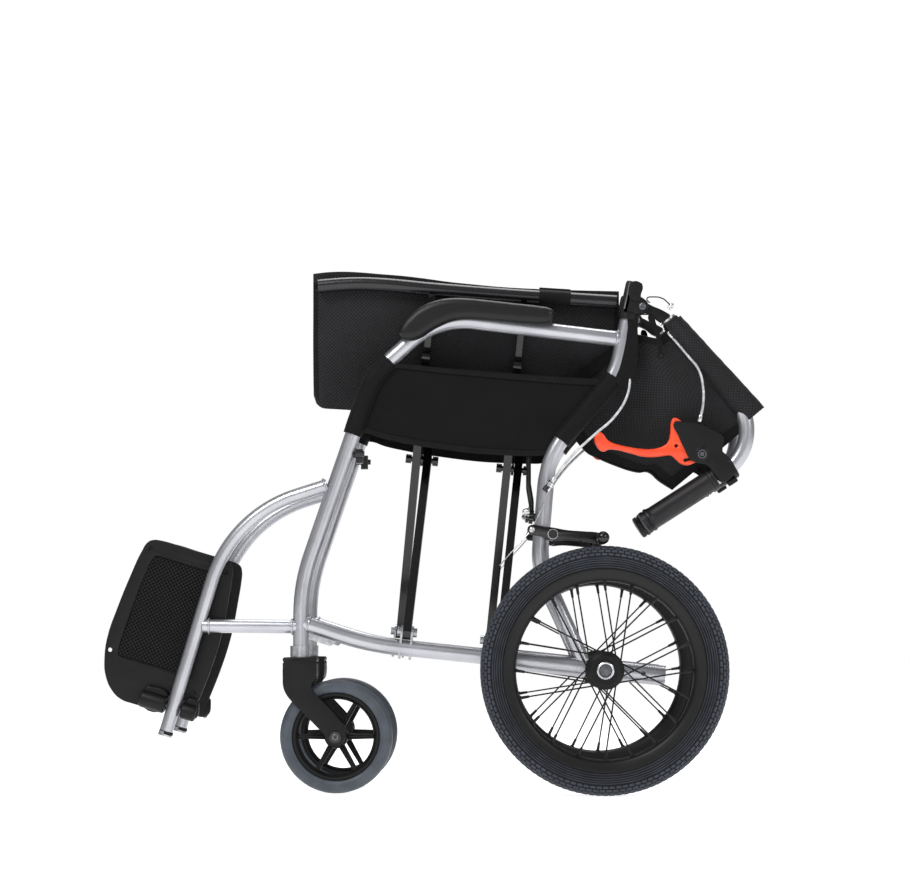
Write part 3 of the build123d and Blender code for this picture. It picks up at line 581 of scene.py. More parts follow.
def makeCaster():
    spec = caster
    centre = middleMm("caster_tyre_left")
    tread = spun(spec["tread"], centre, steps=96, closed=True)
    bothSides(tread, "caster_tread", "casterTread", "caster", ["caster_tyre"])
    wheel = spun(spec["rim"], centre, steps=96, closed=True)
    wheel = joined(wheel, spun(spec["hub"], centre, steps=40, closed=True))
    arms = bmesh.new()
    middle = Matrix.Translation(centre + Vector((spec["spokeMiddle"], 0, 0)))
    for size, edge in (((42, 6.4, 5.2), 1.2), ((40, 15, 2.6), 0.9)):
        arms = joined(arms, roundedBlock(size, edge, middle))
    for way in (-1, 1):
        at = centre + Vector((spec["spokeMiddle"], 0, way * 2.4))
        slope = Matrix.Translation(at) @ Matrix.Rotation(way * 0.03, 4, "Y")
        arms = joined(arms, roundedBlock((42, 13, 2.4), 0.9, slope))
    ringOf(arms, spec["spokes"], centre)
    wheel = joined(wheel, arms)
    bothSides(wheel, "caster_wheel", "mouldedNylon", "caster", ["caster_rim"])
    head = middleMm("caster_rim_left")
    fork = bmesh.new()
    for legSide in (-1, 1):
        ends = sorted(legSide * spec[key] - sidePlane for key in ("legInside", "legOutside"))
        fork = joined(fork, outlinePlate(spec["forkLeg"], *ends, 1.6))
    for size, edge, z in (((46, 46, 24), 3.5, 171.5), ((47.6, 50, 6.6), 2.4, 187.2)):   # crown and collar
        fork = joined(fork, roundedBlock(size, edge, Matrix.Translation((spec["stemX"], -sidePlane, z))))
    fork = joined(fork, spun([(0, 0), (0, 15), (2.4, 13.4), (2.4, 6.2), (12, 6.2), (12, 0)],
                             (-185.2, -sidePlane, 189), (0, 0, 1), 40))
    bothSides(fork, "fork_moulding", "mouldedNylon", "swivel", ["caster_fork"])
    bolt, socket = bmesh.new(), bmesh.new()
    for way in (-1, 1):
        at = Vector((head.x, -sidePlane + way * spec["legOutside"], head.z))
        bolt = joined(bolt, spun([(0, 0), (0, 8.6), (1.6, 8.6), (2.4, 7.6), (2.4, 3.4), (1, 3.2), (1, 0)], at,
                                 (0, way, 0), 32))
        socket = joined(socket, spun([(1.0, 2.2), (1.0, 4.6), (3.0, 4.6), (3.4, 4.0), (3.4, 2.6),
                                      (3.0, 2.2)], at,
                                     (0, way, 0), 24, closed=True))
    shank = spun([(-24, 0), (-24, 4.6), (24, 4.6), (24, 0)], (head.x, -sidePlane, head.z), (0, 1, 0), 20)
    bolt = joined(bolt, shank)
    bothSides(bolt, "caster_axle", "blackEnamel", "swivel")
    bothSides(socket, "caster_screw", "dullSteel", "swivel")


makeCaster()
print("casters made")


# Footplates
footplate = {
    "lean": math.radians(16.6),
    "outline": [(-105, 212), (-98, 217), (-88, 219), (-48, 219), (-8, 219), (8, 218.6), (17, 216),
                (22, 208), (25, 195), (29, 165), (33, 130), (34.5, 100), (34, 70), (32, 40), (29, 10),
                (27, -4), (22, -10), (15, -12.5), (12.4, -11), (12.2, 10), (10.5, 12), (-10.5, 12),
                (-12.2, 10), (-12.4, -11), (-16, -13), (-30, -13), (-62, -13.5), (-74, -13), (-90, -6),
                (-107, 13), (-116, 36), (-121, 67), (-119.5, 110), (-115, 160), (-110, 196)],
    "panel": [(-92, 190), (-90, 195), (-85, 197), (-48, 197), (-9, 197), (-4, 195), (-2, 190), (1, 150),
              (3, 100), (2.4, 52), (0, 47), (-6, 45), (-48, 45), (-93, 45), (-98, 47), (-100, 52),
              (-100, 100), (-97, 150)],
    "ridgeMm": 4.2, "ridgeHigh": 0.9, "gripSpan": 300,
    "gripEdges": (((2, 0, 100), (1, 0, 0.02)), ((-99, 0, 100), (-1, 0, 0.04)), ((0, 0, 196), (0, 0, 1)),
                  ((0, 0, 46), (0, 0, -1))),           # a point on each cut, and the way that is cleared
    "holes": ((-98, 204), (-112, 50), (12, 203), (19, 26)), "holeRadius": 3.0,
    "legFoot": (-374.2, 86.1), "pinUp": 36.5,
    "barrels": ((-49, -11.6, 12.2), (11.6, 33, 11.4)),  # start, end, radius
}


def makeFootplate():
    spec = footplate
    footX, footZ = spec["legFoot"]
    legUp = Vector((math.sin(spec["lean"]), 0, math.cos(spec["lean"])))
    pin = Vector((footX, -sidePlane, footZ)) + legUp * spec["pinUp"]
    toLeg = Matrix.Translation(pin) @ Matrix.Rotation(spec["lean"], 4, "Y")
    holes = [holeAt(x, z, spec["holeRadius"]) for x, z in spec["holes"]]
    slab = outlinePlate(spec["outline"], 14.0, 18.0, 0.9, holes[1:2])
    rim = outlinePlate(spec["outline"], 12.0, 15.0, 1.1, [spec["panel"], *holes])
    plate = joined(slab, rim)
    for start, end, radius in spec["barrels"]:
        long = end - start
        profile = [(0, 4.2), (0, radius - 3), (1.4, radius - 0.8), (3.4, radius), (long - 2, radius),
                   (long, radius - 2), (long, 4.2)]
        barrel = spun(profile, (start, 1.4, -1.5), (1, 0, 0), 40, closed=True)
        outline = [(start + 1, -9), (start + 1, 12), (start + 5, 17.6), (start + 12, 19), (end - 3, 17),
                   (end, 12), (end, -9)]
        web = outlinePlate(outline, 2.0, 14.5, 3.4)
        plate = joined(plate, barrel, web)
    bothSides(placed(plate, toLeg), "footplate_moulding", "mouldedNylon", "foot",
              ["footplate"])
    grid = bmesh.new()
    cells = int(spec["gripSpan"] / spec["ridgeMm"])
    bmesh.ops.create_grid(grid, x_segments=cells, y_segments=cells, size=spec["gripSpan"] / 2)
    for degrees, axis in ((45, "Z"), (90, "X")):
        turn = Matrix.Rotation(math.radians(degrees), 3, axis)
        bmesh.ops.rotate(grid, cent=(0, 0, 0), matrix=turn, verts=grid.verts)
    bmesh.ops.translate(grid, vec=(-48, 13.9, 121), verts=grid.verts)
    for point, normal in spec["gripEdges"]:
        bmesh.ops.bisect_plane(grid, geom=grid.verts[:] + grid.edges[:] + grid.faces[:], plane_co=point,
                               plane_no=normal, clear_outer=True)
    bmesh.ops.recalc_face_normals(grid, faces=grid.faces)
    if grid.faces[0].normal.y > 0:
        bmesh.ops.reverse_faces(grid, faces=grid.faces[:])
    bmesh.ops.inset_individual(grid, faces=grid.faces[:], thickness=0.8, depth=spec["ridgeHigh"])
    bothSides(placed(grid, toLeg), "footplate_grip", "mouldedNylon", "foot")
    pinRod = spun([(-33, 0), (-33, 6.2), (-32, 7), (-30, 7), (-30, 3.9), (26, 3.9), (26, 6), (28, 6.4),
                   (29, 4), (29, 0)],
                  pin, toLeg.to_3x3() @ Vector((1, 0, 0)), 32)
    bothSides(pinRod, "footplate_pin", "blackEnamel", "foot")


makeFootplate()
print("footplates made")


# Arm pads
armPad = {
    "outline": [(-47, 648), (-45, 656), (-30, 675), (-12, 688), (7, 695.5), (24, 698.6), (43.5, 699),
                (68, 697), (93, 694.3), (124, 690.7), (154, 687.2), (168, 684.5), (175, 679), (174.5, 670),
                (168, 662), (155, 660.5), (141, 661), (110, 663.4), (80, 666), (60, 667.6), (43.5, 667.8),
                (28, 665), (14, 659.5), (0, 652), (-12, 644), (-24, 638.8), (-34, 638), (-42, 641.5)],
    "middle": -86.0, "halfWide": 22.0, "edge": 9.0,
}


def makeArmPad():
    spec = armPad
    pad = outlinePlate(spec["outline"], spec["middle"] - spec["halfWide"], spec["middle"] + spec["halfWide"],
                       spec["edge"])
    made = bothSides(pad, "arm_cushion", "skinFoam", "side", ["arm_pad"], 60)
    for piece in made:
        addModifier(piece, "REMESH", mode="VOXEL", voxel_size=0.0024, use_smooth_shade=True)
        addModifier(piece, "SMOOTH", factor=0.5, iterations=6)


makeArmPad()
print("arm pads made")


# Cloth helpers
def edgeAt(points, share):
    # a point at a share of the length of a line
    spans = [(b - a).length for a, b in zip(points, points[1:])]
    left = share * sum(spans)
    for (a, b), span in zip(zip(points, points[1:]), spans):
        if left <= span:
            return a.lerp(b, left / span if span else 0)
        left -= span
    return points[-1].copy()


def clothGrid(columns, rows, place, size):
    # a grid whose points go where place(u, v) says, with its cut size kept as the cloth's own map
    bm = bmesh.new()
    bmesh.ops.create_grid(bm, x_segments=columns, y_segments=rows, size=0.5)
    weave = bm.loops.layers.uv.new("cloth")
    for face in bm.faces:
        for loop in face.loops:
            at = loop.vert.co
            loop[weave].uv = ((at.x + 0.5) * size[0] / 1000, (at.y + 0.5) * size[1] / 1000)
    for vert in bm.verts:
        vert.co = place(vert.co.x + 0.5, vert.co.y + 0.5)
    return bm


def ripple(point, spanMm, seed=0.0):
    return noise.noise(Vector((point[0] / spanMm + seed, point[1] / spanMm, point[2] / spanMm)))


def patchBetween(low, high, left, right):
    # a surface held by four edges
    def place(u, v):
        a, b, c, d = edgeAt(low, u), edgeAt(high, u), edgeAt(left, v), edgeAt(right, v)
        corners = (low[0] * (1 - u) * (1 - v) + low[-1] * u * (1 - v)
                   + high[0] * (1 - u) * v + high[-1] * u * v)
        return a * (1 - v) + b * v + c * (1 - u) + d * u - corners
    return place


def inPlane(points, y):
    return [Vector((x, y, z)) for x, z in points]


def heightAt(line, x):
    # the height of a line in the side view, held level past its ends
    for a, b in zip(line, line[1:]):
        if a.x <= x <= b.x:
            return a.z + (b.z - a.z) * (x - a.x) / max(b.x - a.x, 1e-6)
    return line[0].z if x < line[0].x else line[-1].z


# Side panels
sidePanel = {
    "low": [(-112, 507), (-94, 508), (-73, 501), (-44, 494.5), (-16, 489), (12, 485), (41, 481), (69, 478),
            (97, 476.3), (140, 475), (163, 477), (184, 494)],
    "high": [(-62, 606), (-30, 605), (7, 601), (50, 597.5), (93, 594), (140, 590), (182, 587), (225, 584.5),
             (254, 583)],
    "front": [(-112, 507), (-99, 545.5), (-92.5, 562.6), (-86.5, 576.5), (-79.9, 588.7), (-72, 598),
              (-62, 606)],
    "rear": [(184, 494), (189, 502), (216, 534.7), (243.6, 567.2), (250, 575), (254, 583)],
    "sleeves": (            # each one's line, radius, and seed of its wrinkles
        ([(-112.5, 506), (-99, 545.5), (-92.5, 562.6), (-86.5, 576.5), (-79.9, 588.7), (-70.5, 601), (-60, 612)],
         13.4, 1.0),
        ([(184, 496.5), (189, 503), (216, 534.7), (243.6, 567.2), (252, 578), (258.5, 588)], 14.0, 5.0)),
    "hemShare": 7 / 105,    # of the panel's height
}


def makeSidePanel():
    spec = sidePanel
    low, high = smoothLine(inPlane(spec["low"], 0)), smoothLine(inPlane(spec["high"], 0))
    front, rear = smoothLine(inPlane(spec["front"], 0)), smoothLine(inPlane(spec["rear"], 0))
    front[0], front[-1] = low[0].copy(), high[0].copy()
    rear[0], rear[-1] = low[-1].copy(), high[-1].copy()
    hold = patchBetween(low, high, front, rear)

    def place(u, v):
        at = hold(u, v)
        belly = 3.2 * math.sin(math.pi * u) * math.sin(math.pi * v)
        pull = 1.6 * ripple(at, 55, 3.1) * math.sin(math.pi * v) + 0.5 * ripple(at, 16, 8.4)
        return Vector((at.x, -sidePlane - 1.5 - belly - pull, at.z))

    panel = thickened(clothGrid(100, 40, place, (300.0, 108.0)), 1.6)
    made = bothSides(panel, "side_cloth", "wovenNylon", "side", ["side_panel"], 60)
    hems = bmesh.new()
    for v, inside in ((0, spec["hemShare"]), (1, 1 - spec["hemShare"])):
        edge = [place(u / 60, v) for u in range(61)]
        inner = [place(u / 60, inside) for u in range(61)]
        fold = clothGrid(60, 6, lambda u, w: edgeAt(edge, u).lerp(edgeAt(inner, u), w)
                         - across * (1.3 + 1.1 * math.sin(math.pi * w)), (300.0, 8.0))
        hems = joined(hems, thickened(fold, 1.2))
    bothSides(hems, "side_hem", "bindingTape", "side", (), 60)
    seams = bmesh.new()
    lines = [([place(0.03 + 0.94 * u / 80, v) for u in range(81)], -1.7) for v in (0.028, 0.052, 0.93, 0.965)]
    lines += [([place(u, 0.04 + 0.92 * v / 40) for v in range(41)], -1.2) for u in (0.03, 0.045)]
    for line, lift in lines:
        seams = joined(seams, dashes(line, 4.2, (2.9, 0.8, 0.8), (0, lift, 0)))
    bothSides(seams, "side_seams", "seamThread", "side", (), 60)
    sleeves = bmesh.new()
    for line, radius, seed in spec["sleeves"]:
        sleeve = tubeAlong(inPlane(line, -sidePlane), radius, steps=8, sideSteps=8, capped=True)
        for vert in sleeve.verts:
            vert.co += vert.normal * (0.5 * ripple(vert.co, 14, seed))
        sleeves = joined(sleeves, sleeve)
    bothSides(sleeves, "side_sleeves", "bindingTape", "side", (), 60)


makeSidePanel()
print("side panels made")


# Seat sling: one sheet hung between the two seat rails
seatSling = {
    "upper": [(-172, 742), (-150, 744.4), (-125, 745), (-100, 743.6), (-75, 741.4), (-46, 739),
              (-17, 735.6), (26, 729.6), (60, 726), (97, 722.4), (154, 719), (210, 717), (269, 715.4)],
    "rail": [(-164, 722.6), (-128, 725.4), (-91, 725.8), (7, 717.3), (104, 709.4), (183, 704), (265, 698.7)],
    "bottomFront": 554.0, "pitch": math.tan(math.radians(4.6)), "corner": 16.0,
    "railY": 51.3, "front": -172.0, "rear": 269.0, "tab": (176.5, 45.0), "railRadius": 9.9,
    "standing": 0.12,       # the share of each half that stands up behind its rail
    "stitching": 5.2, "stitch": (3.6, 1.4, 1.4),
}


def makeSeatSling():
    spec = seatSling
    railLow, railHigh = boxMm("seat_rail_left")
    railY = abs(railLow.y + railHigh.y) / 2
    upper, rail = smoothLine(inPlane(spec["upper"], 0)), smoothLine(inPlane(spec["rail"], 0))

    def place(u, v):
        x = spec["front"] + (spec["rear"] - spec["front"]) * u
        side = -1 if v < 0.5 else 1
        w = 1 - abs(2 * v - 1)                      # 0 at the rail, 1 at the bottom of the fold
        top, beside = heightAt(upper, x), heightAt(rail, x)
        bottom = spec["bottomFront"] - (x - spec["front"]) * spec["pitch"] + 2 * math.sin(math.pi * u * 2)
        intoCorner = max(0.0, spec["corner"] - (x - spec["front"]))
        bottom += spec["corner"] - math.sqrt(max(0.0, spec["corner"] ** 2 - intoCorner ** 2))
        inside = railY - 11.5
        if w < spec["standing"]:
            share = w / spec["standing"]
            z = top + (beside - 4 - top) * share
            y = inside + 2.0 - 2.0 * share
        else:
            share = (w - spec["standing"]) / (1 - spec["standing"])
            z = beside - 4 + (bottom - beside + 4) * (share ** 0.94)
            y = inside * (1 - share) ** 0.8 + 5.5 * math.sin(math.pi * share) + 0.2
        wave = 3.5 * ripple((x, z, side * 20), 70, 2.0) * math.sin(math.pi * min(1, max(0, (w - 0.1) / 0.9)))
        return Vector((x, side * max(y + wave, 0.0) if w < 0.995 else 0.0, z))

    sling = thickened(clothGrid(110, 96, place, (438.0, 400.0)), 1.8)
    piece = makePiece(sling, "seat_mesh", "spacerMesh", None,
                      ["seat_sling_left", "seat_sling_right"], 60)
    edges = bmesh.new()
    for u0, u1, v0, v1 in ((0.0, 1.0, 0.0, 0.035), (0.0, 1.0, 0.965, 1.0), (0.0, 0.016, 0.035, 0.965),
                           (0.984, 1.0, 0.035, 0.965), (0.012, 0.034, 0.05, 0.95), (0.01, 0.15, 0.12, 0.16),
                           (0.01, 0.15, 0.84, 0.88)):
        lift = 1.2 if (v1 - v0) > 0.5 and (u1 - u0) < 0.03 else 0.9
        for way in (-1, 1):
            band = clothGrid(max(2, int(90 * (u1 - u0))), max(2, int(90 * (v1 - v0))),
                             lambda a, b: place(u0 + (u1 - u0) * a, v0 + (v1 - v0) * b),
                             (438.0 * (u1 - u0), 400.0 * (v1 - v0)))
            bmesh.ops.recalc_face_normals(band, faces=band.faces)
            band.normal_update()
            for vert in band.verts:
                vert.co += vert.normal * way * lift
            bmesh.ops.solidify(band, geom=band.faces[:], thickness=0.7)
            edges = joined(edges, band)
    tape = makePiece(edges, "seat_binding", "bindingTape", None, (), 60)
    seams = bmesh.new()
    lines = [[place(0.004 + 0.992 * u / 120, v) for u in range(121)] for v in (0.018, 0.982)]
    for u in (0.15, 0.155):
        for first, way in ((0.05, 1), (0.95, -1)):
            lines.append([place(u, first + way * 0.4 * v / 60) for v in range(61)])
    for line in lines:
        seams = joined(seams, dashes(line, spec["stitching"], spec["stitch"]))
    thread = makePiece(seams, "seat_seams", "seamThread", None, (), 60)
    start, end = [(0, way * spec["railY"] / 1000, 0.6) for way in (-1, 1)]
    for each in (piece, tape, thread):
        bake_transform(each)
        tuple(start)
        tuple(end)
    x, wide = spec["tab"]
    z = heightAt(rail, x)
    slope = (math.cos(0.066), 0, -math.sin(0.066))
    inner, outer = spec["railRadius"], spec["railRadius"] + 1.3
    for side, way, body in (("left", -1, "cross_b"), ("right", 1, "cross_a")):
        tube = tubeAlong(inPlane(spec["rail"], way * railY), spec["railRadius"], steps=10, sideSteps=8)
        makePiece(tube, f"rail_tube_{side}", "greyPowder", body, (f"seat_rail_{side}",))
        strap = spun([(-wide / 2, inner), (-wide / 2, outer), (wide / 2, outer), (wide / 2, inner)],
                     (x, way * railY, z), slope, 32, closed=True)
        lip = roundedBlock((wide, 3.2, 13), 1.0, turnTo(slope, (x, way * (railY - 9), z + 9)))
        makePiece(joined(strap, lip), f"seat_tab_{side}", "bindingTape", body, (), 60)


makeSeatSling()
print("seat sling made")


# Backrest cloth: a sleeve on each upper tube and a half that hangs from it
backCloth = {
    "reach": [(-22, 200), (20, 210), (67, 214.5), (85, 207), (112.7, 191.6), (131, 179.4), (141, 170),
              (146, 161.6), (168, 156.6), (190, 149)],
    "first": -22.0, "last": 190.0, "swing": math.radians(72), "sleeveFrom": 8.0, "sleeveLength": 176.0,
}


def makeBackCloth():
    spec = backCloth
    start = upperTube["hingeEnd"]
    along = (upperTube["bend"] - start).normalized()
    inward = Vector((along.z, 0, -along.x))
    away = across * math.cos(spec["swing"]) + inward * math.sin(spec["swing"])
    normal = along.cross(away).normalized()
    reach = smoothLine(inPlane(spec["reach"], 0), 6)

    def place(u, v, lift=0.0):
        opened = min(1.0, max(0.0, (v - 0.1) / 0.14))       # 0 beside the hinge, where the cloth is cut away
        first = 12 + (spec["first"] - 12) * opened
        s = first + (spec["last"] - first) * u
        d = 9 + (heightAt(reach, s) - 9) * v
        sag = 5 * math.sin(math.pi * v) + 3.0 * ripple((s, d, 0), 60, 6.0) * math.sin(math.pi * v) ** 0.5
        return start + along * s + away * d - normal * (sag + lift)

    half = thickened(clothGrid(100, 90, place, (212.0, 200.0)), 2.0)
    made = bothSides(half, "back_mesh", "spacerMesh", "back_half", ["back_sling"], 60)
    edges = bmesh.new()
    for u0, u1, v0, v1 in ((0, 1, 0.93, 1), (0, 0.07, 0.02, 0.93), (0.93, 1, 0.02, 0.93)):
        for lift in (-1.6, 2.4):
            band = clothGrid(max(3, int(60 * (u1 - u0))), max(3, int(60 * (v1 - v0))),
                             lambda a, b: place(u0 + (u1 - u0) * a, v0 + (v1 - v0) * b, lift),
                             (spec["sleeveLength"] * (u1 - u0), 200.0 * (v1 - v0)))
            edges = joined(edges, thickened(band, 0.9))
    bothSides(edges, "back_binding", "bindingTape", "back_half", (), 60)

    def sleeveAt(u, v):
        s = spec["sleeveFrom"] + spec["sleeveLength"] * u
        turn = 2 * math.pi * v
        out = 15.5 + 4.0 * u
        wide = out * math.cos(turn) + (1.5 + 2.5 * u)
        deep = (13.6 + 0.6 * math.sin(5 * u)) * math.sin(turn)
        point = start + along * s - inward * wide + across * deep
        fold = 0.7 * ripple((s, 20 * math.cos(turn), 20 * math.sin(turn)), 11, 4.0)
        return point - inward * math.cos(turn) * fold + across * math.sin(turn) * fold

    sleeve = clothGrid(60, 44, sleeveAt, (spec["sleeveLength"], 104.0))
    bmesh.ops.remove_doubles(sleeve, verts=sleeve.verts, dist=0.01)
    bothSides(thickened(sleeve, 1.4), "back_sleeve", "spacerMesh", "back", (), 60)
    patch = clothGrid(24, 14, lambda u, v: sleeveAt(0.52 + 0.26 * u, 0.30 + 0.17 * v) - across, (46.0, 18.0))
    bothSides(thickened(patch, 1.0), "back_patch", "wovenNylon", "back", (), 60)


makeBackCloth()
print("back cloth made")


# Brake lever, bracket and grip
lever = {
    "outline": [(343, 528), (339.6, 523), (338.6, 513), (337.6, 503), (335, 494.5), (329, 488.8),
                (320, 485.4), (308.5, 484), (295, 484.8), (280, 487), (266, 490.2), (254.5, 494),
                (248.5, 498.6), (243.6, 505.4), (238, 508.6), (233, 505), (231, 497), (233.6, 489),
                (238.5, 482.6), (244.6, 480.8), (252, 483.6), (262, 482.8), (273, 480.4), (285, 477),
                (296, 474), (308, 472.6), (320, 473), (331, 474.6), (339, 474.6), (345.5, 469.4),
                (353, 463), (362, 461), (371, 464), (380, 468.5), (390, 474), (386, 484), (373, 500),
                (360, 516), (351, 526)],
    "slot": [(357, 466.4), (363, 467.2), (371, 471.2), (370, 474.2), (362, 471), (357, 469.6)],
    "pivot": (382.4, 476.1), "hole": (346.5, 488.5, 2.4),
    "rib": [(244, 489), (256, 487.5), (280, 482.5), (300, 479), (316, 478.6), (328, 481), (322, 482.4),
            (306, 481.6), (285, 484.6), (262, 489.6), (247, 494)],
    "web": [(400, 484), (412, 480), (428, 453), (413, 437), (396, 452), (394, 470)],
    "clamp": [(115.5, 11.3), (115.5, 15.6), (117, 17), (141, 17), (142.5, 15.6), (142.5, 11.3)],
    "cheek": [(343.7, 521.5), (352, 523), (366, 521.8), (383, 518.4), (400, 509), (413, 500), (412.4, 489),
              (411.6, 480), (420, 466), (429.5, 452.5), (424, 444), (412, 436.5), (404, 443), (395, 455),
              (386, 462), (374, 464.6), (366, 468.6), (358, 483), (350, 501)],
    "ribs": 18,
    "grip": [(-9, 0), (-9, 14.2), (-8, 16.2), (-3.4, 16.8), (-2.4, 15.6), (-1.2, 15.6), (0, 17.2),
             (3, 17.4), (4.4, 16.2), (9, 15.6), (60, 15.2), (102, 15.4), (103.4, 16.6), (106, 16.8),
             (107, 15.4), (108.4, 15.4), (109.4, 16.2), (111, 16.2), (111.6, 11.2)],
}


def makeLever():
    spec = lever
    low, high = boxMm("brake_lever_left")
    arm = outlinePlate(spec["outline"], low.y, high.y, 2.4, [holeAt(*spec["hole"]), spec["slot"]])
    rib = outlinePlate(spec["rib"], low.y - 0.9, low.y + 1.5, 0.7)
    bothSides(joined(arm, rib), "lever_arm", "orangeNylon", "lever", ["brake_lever"])
    pivot = Vector((spec["pivot"][0], 0, spec["pivot"][1]))
    cheek = outlinePlate(spec["cheek"], -97.0, -93.4, 1.0)
    boss = spun([(0, 0), (0, 10.8), (1.0, 10.8), (1.9, 9.4), (1.9, 0)], pivot - across * 97.0, (0, -1, 0), 40)
    web = outlinePlate(spec["web"], -93.6, -84.0, 1.6)
    gripEnd = upperTube["gripEnd"]
    gripWay = (upperTube["bend"] - gripEnd).normalized()
    clamp = spun(spec["clamp"], gripEnd, gripWay, 40, closed=True)
    lug = roundedBlock((15, 10, 8), 2.0, turnTo(gripWay, gripEnd + gripWay * 129 + Vector((9, -8, -15))))
    bothSides(joined(cheek, boss, web, clamp, lug), "lever_mount", "mouldedNylon", "back",
              ["lever_bracket"])
    ring = spun([(98.8, 4.6), (98.8, 6.6), (100.4, 6.2), (100.4, 4.6)], pivot, (0, -1, 0), 36, closed=True)
    screw = joined(ring, domedHead(pivot - across * 98.7, (0, -1, 0), 3.4, 1.6),
                   spun([(94.9, 3.2), (82, 3.2), (82, 0)], pivot, (0, -1, 0), 20))
    bothSides(screw, "lever_screw", "dullSteel", "back")
    sleeve = spun(spec["grip"], gripEnd, gripWay, 72)
    ribs = bmesh.new()
    for k in range(spec["ribs"]):
        rise = Matrix.Rotation(2 * math.pi * k / spec["ribs"], 4, "X") @ Matrix.Translation((56, 0, 15.1))
        ribs = joined(ribs, roundedBlock((88, 1.8, 0.9), 0.35, turnTo(gripWay, gripEnd) @ rise, 1))
    bothSides(joined(sleeve, ribs), "grip_sleeve", "gripRubber", "back", ["grip"])


makeLever()
print("levers made")


# Backrest hinge
hinge = {
    "pivot": Vector((300.0, -sidePlane, 687.0)), "post": Vector((284.1, -sidePlane, 692.1)),
    "postWay": Vector((0.21, 0, 0.978)),
    "socket": (53, 4.5), "halfWide": 12.5,      # length and middle along the post
    "ear": [(284, 700), (292, 702), (303, 697.4), (309, 688), (306, 680.6), (299, 678), (288, 677),
            (282, 684)],
    "cover": [(281, 716), (286, 722.4), (296, 721.6), (300.5, 716), (298, 704), (296, 696), (284, 697)],
    "tongue": [(293.8, 688), (296.6, 693), (302, 693.8), (316, 688), (333, 680), (340, 674), (336, 665),
               (327, 665), (313, 675), (300, 680.6), (295, 683)],
    "release": [(310, -98, 691), (306, -98, 697), (316, -98, 699.6), (328, -98, 697.4), (336, -98, 691),
                (340, -98, 686)],
    "strap": [(308, 674), (313, 676), (319, 662), (324, 645), (328, 628), (327.6, 620), (323.6, 620),
              (321, 634), (315, 655)],
    "flap": [(282, 677), (291, 675), (293, 655), (293, 625), (290, 600), (286, 580), (277, 574), (266, 575),
             (262, 580), (268, 600), (275, 628), (279, 655)],
}


def makeHinge():
    spec = hinge
    post = turnTo(spec["postWay"], spec["post"])
    long, middle = spec["socket"]
    block = roundedBlock((long, 2 * spec["halfWide"], 13), 3.4, post @ Matrix.Translation((middle, 0, 6.5)))
    for way in (-1, 1):                         # two cheeks beside the slot, and an ear on each
        cheek = roundedBlock((long, 6, 21), 2.6, post @ Matrix.Translation((middle, way * 9.5, 0)))
        ends = sorted(way * y - sidePlane for y in (6.6, 12.0))
        block = joined(block, cheek, outlinePlate(spec["ear"], *ends, 1.2))
    collar = spun([(-24, 11.2), (-24, 14.6), (-23, 15.6), (-15, 15.6), (-14, 14.4), (-14, 11.2)], spec["post"],
                  spec["postWay"], 40, closed=True)
    cover = outlinePlate(spec["cover"], -94.2, -91.0, 1.0)
    bothSides(joined(block, collar, cover), "hinge_block", "mouldedNylon", "side",
              ["hinge_socket"])
    strip = roundedBlock((41, 1.6, 2.2), 0.5, post @ Matrix.Translation((10, -13.0, 8.0)))
    pin = joined(domedHead(spec["pivot"] - across * 12.4, (0, -1, 0), 5.6, 2.4),
                 domedHead(spec["pivot"] + across * 12.4, (0, 1, 0), 5.6, 2.4),
                 spun([(-12, 0), (-12, 2.9), (12, 2.9), (12, 0)], spec["pivot"], (0, 1, 0), 20))
    bothSides(joined(strip, pin), "hinge_bright", "dullSteel", "side")
    back = turnTo(upperTube["bend"] - upperTube["hingeEnd"], upperTube["hingeEnd"])
    headBlock = roundedBlock((28, 2 * spec["halfWide"], 24), 3.4, back @ Matrix.Translation((16.4, 0, 0)))
    tongue = outlinePlate(spec["tongue"], -sidePlane - 5.6, -sidePlane + 5.6, 1.4)
    bothSides(joined(headBlock, tongue), "hinge_arm", "mouldedNylon", "back", ["hinge_head"])
    latch = spun([(0, 0), (0, 3.0), (3, 3.0), (4, 3.8), (6.4, 3.8), (7, 2.6), (9.4, 2.2), (9.4, 0)],
                 Vector((337.0, -98.0, 683.0)), (0.65, 0, 0.76), 16)
    bothSides(latch, "hinge_latch", "zincPlate", "back")
    wire = tubeAlong([Vector(point) for point in spec["release"]], 0.9, steps=8, sideSteps=2)
    strap = outlinePlate(spec["strap"], -95.4, -94.0, 0.5)
    ring = spun([(-0.9, 4.4), (0, 5.3), (0.9, 4.4), (0, 3.5)], (325.4, -94.7, 616.0), (0, 1, 0), 28,
                closed=True)
    bothSides(joined(wire, strap, ring), "release_strap", "bindingTape", "back", (), 60)
    flap = outlinePlate(spec["flap"], -92.4, -89.4, 1.2)
    bothSides(flap, "post_flap", "bindingTape", "side", (), 60)


makeHinge()
print("hinges made")


# Brake cables, fixed at both ends
cables = {
    "lower": [(287, -80, 667), (286, -84, 630), (282.5, -88, 594), (277.5, -97, 560), (259, -99, 529),
              (231, -99, 504), (199, -99, 474), (170, -99, 437)],
    "upper": [(337, -86, 650), (350, -86.5, 634), (365, -87, 616), (379, -89.5, 597), (384.6, -95, 572),
              (384, -99, 545), (379, -99, 523)],
    "radius": 1.9, "ferrule": [(-1, 0), (-1, 2.6), (0, 3.1), (8, 3.1), (9, 2.6), (9, 1.8)],
}


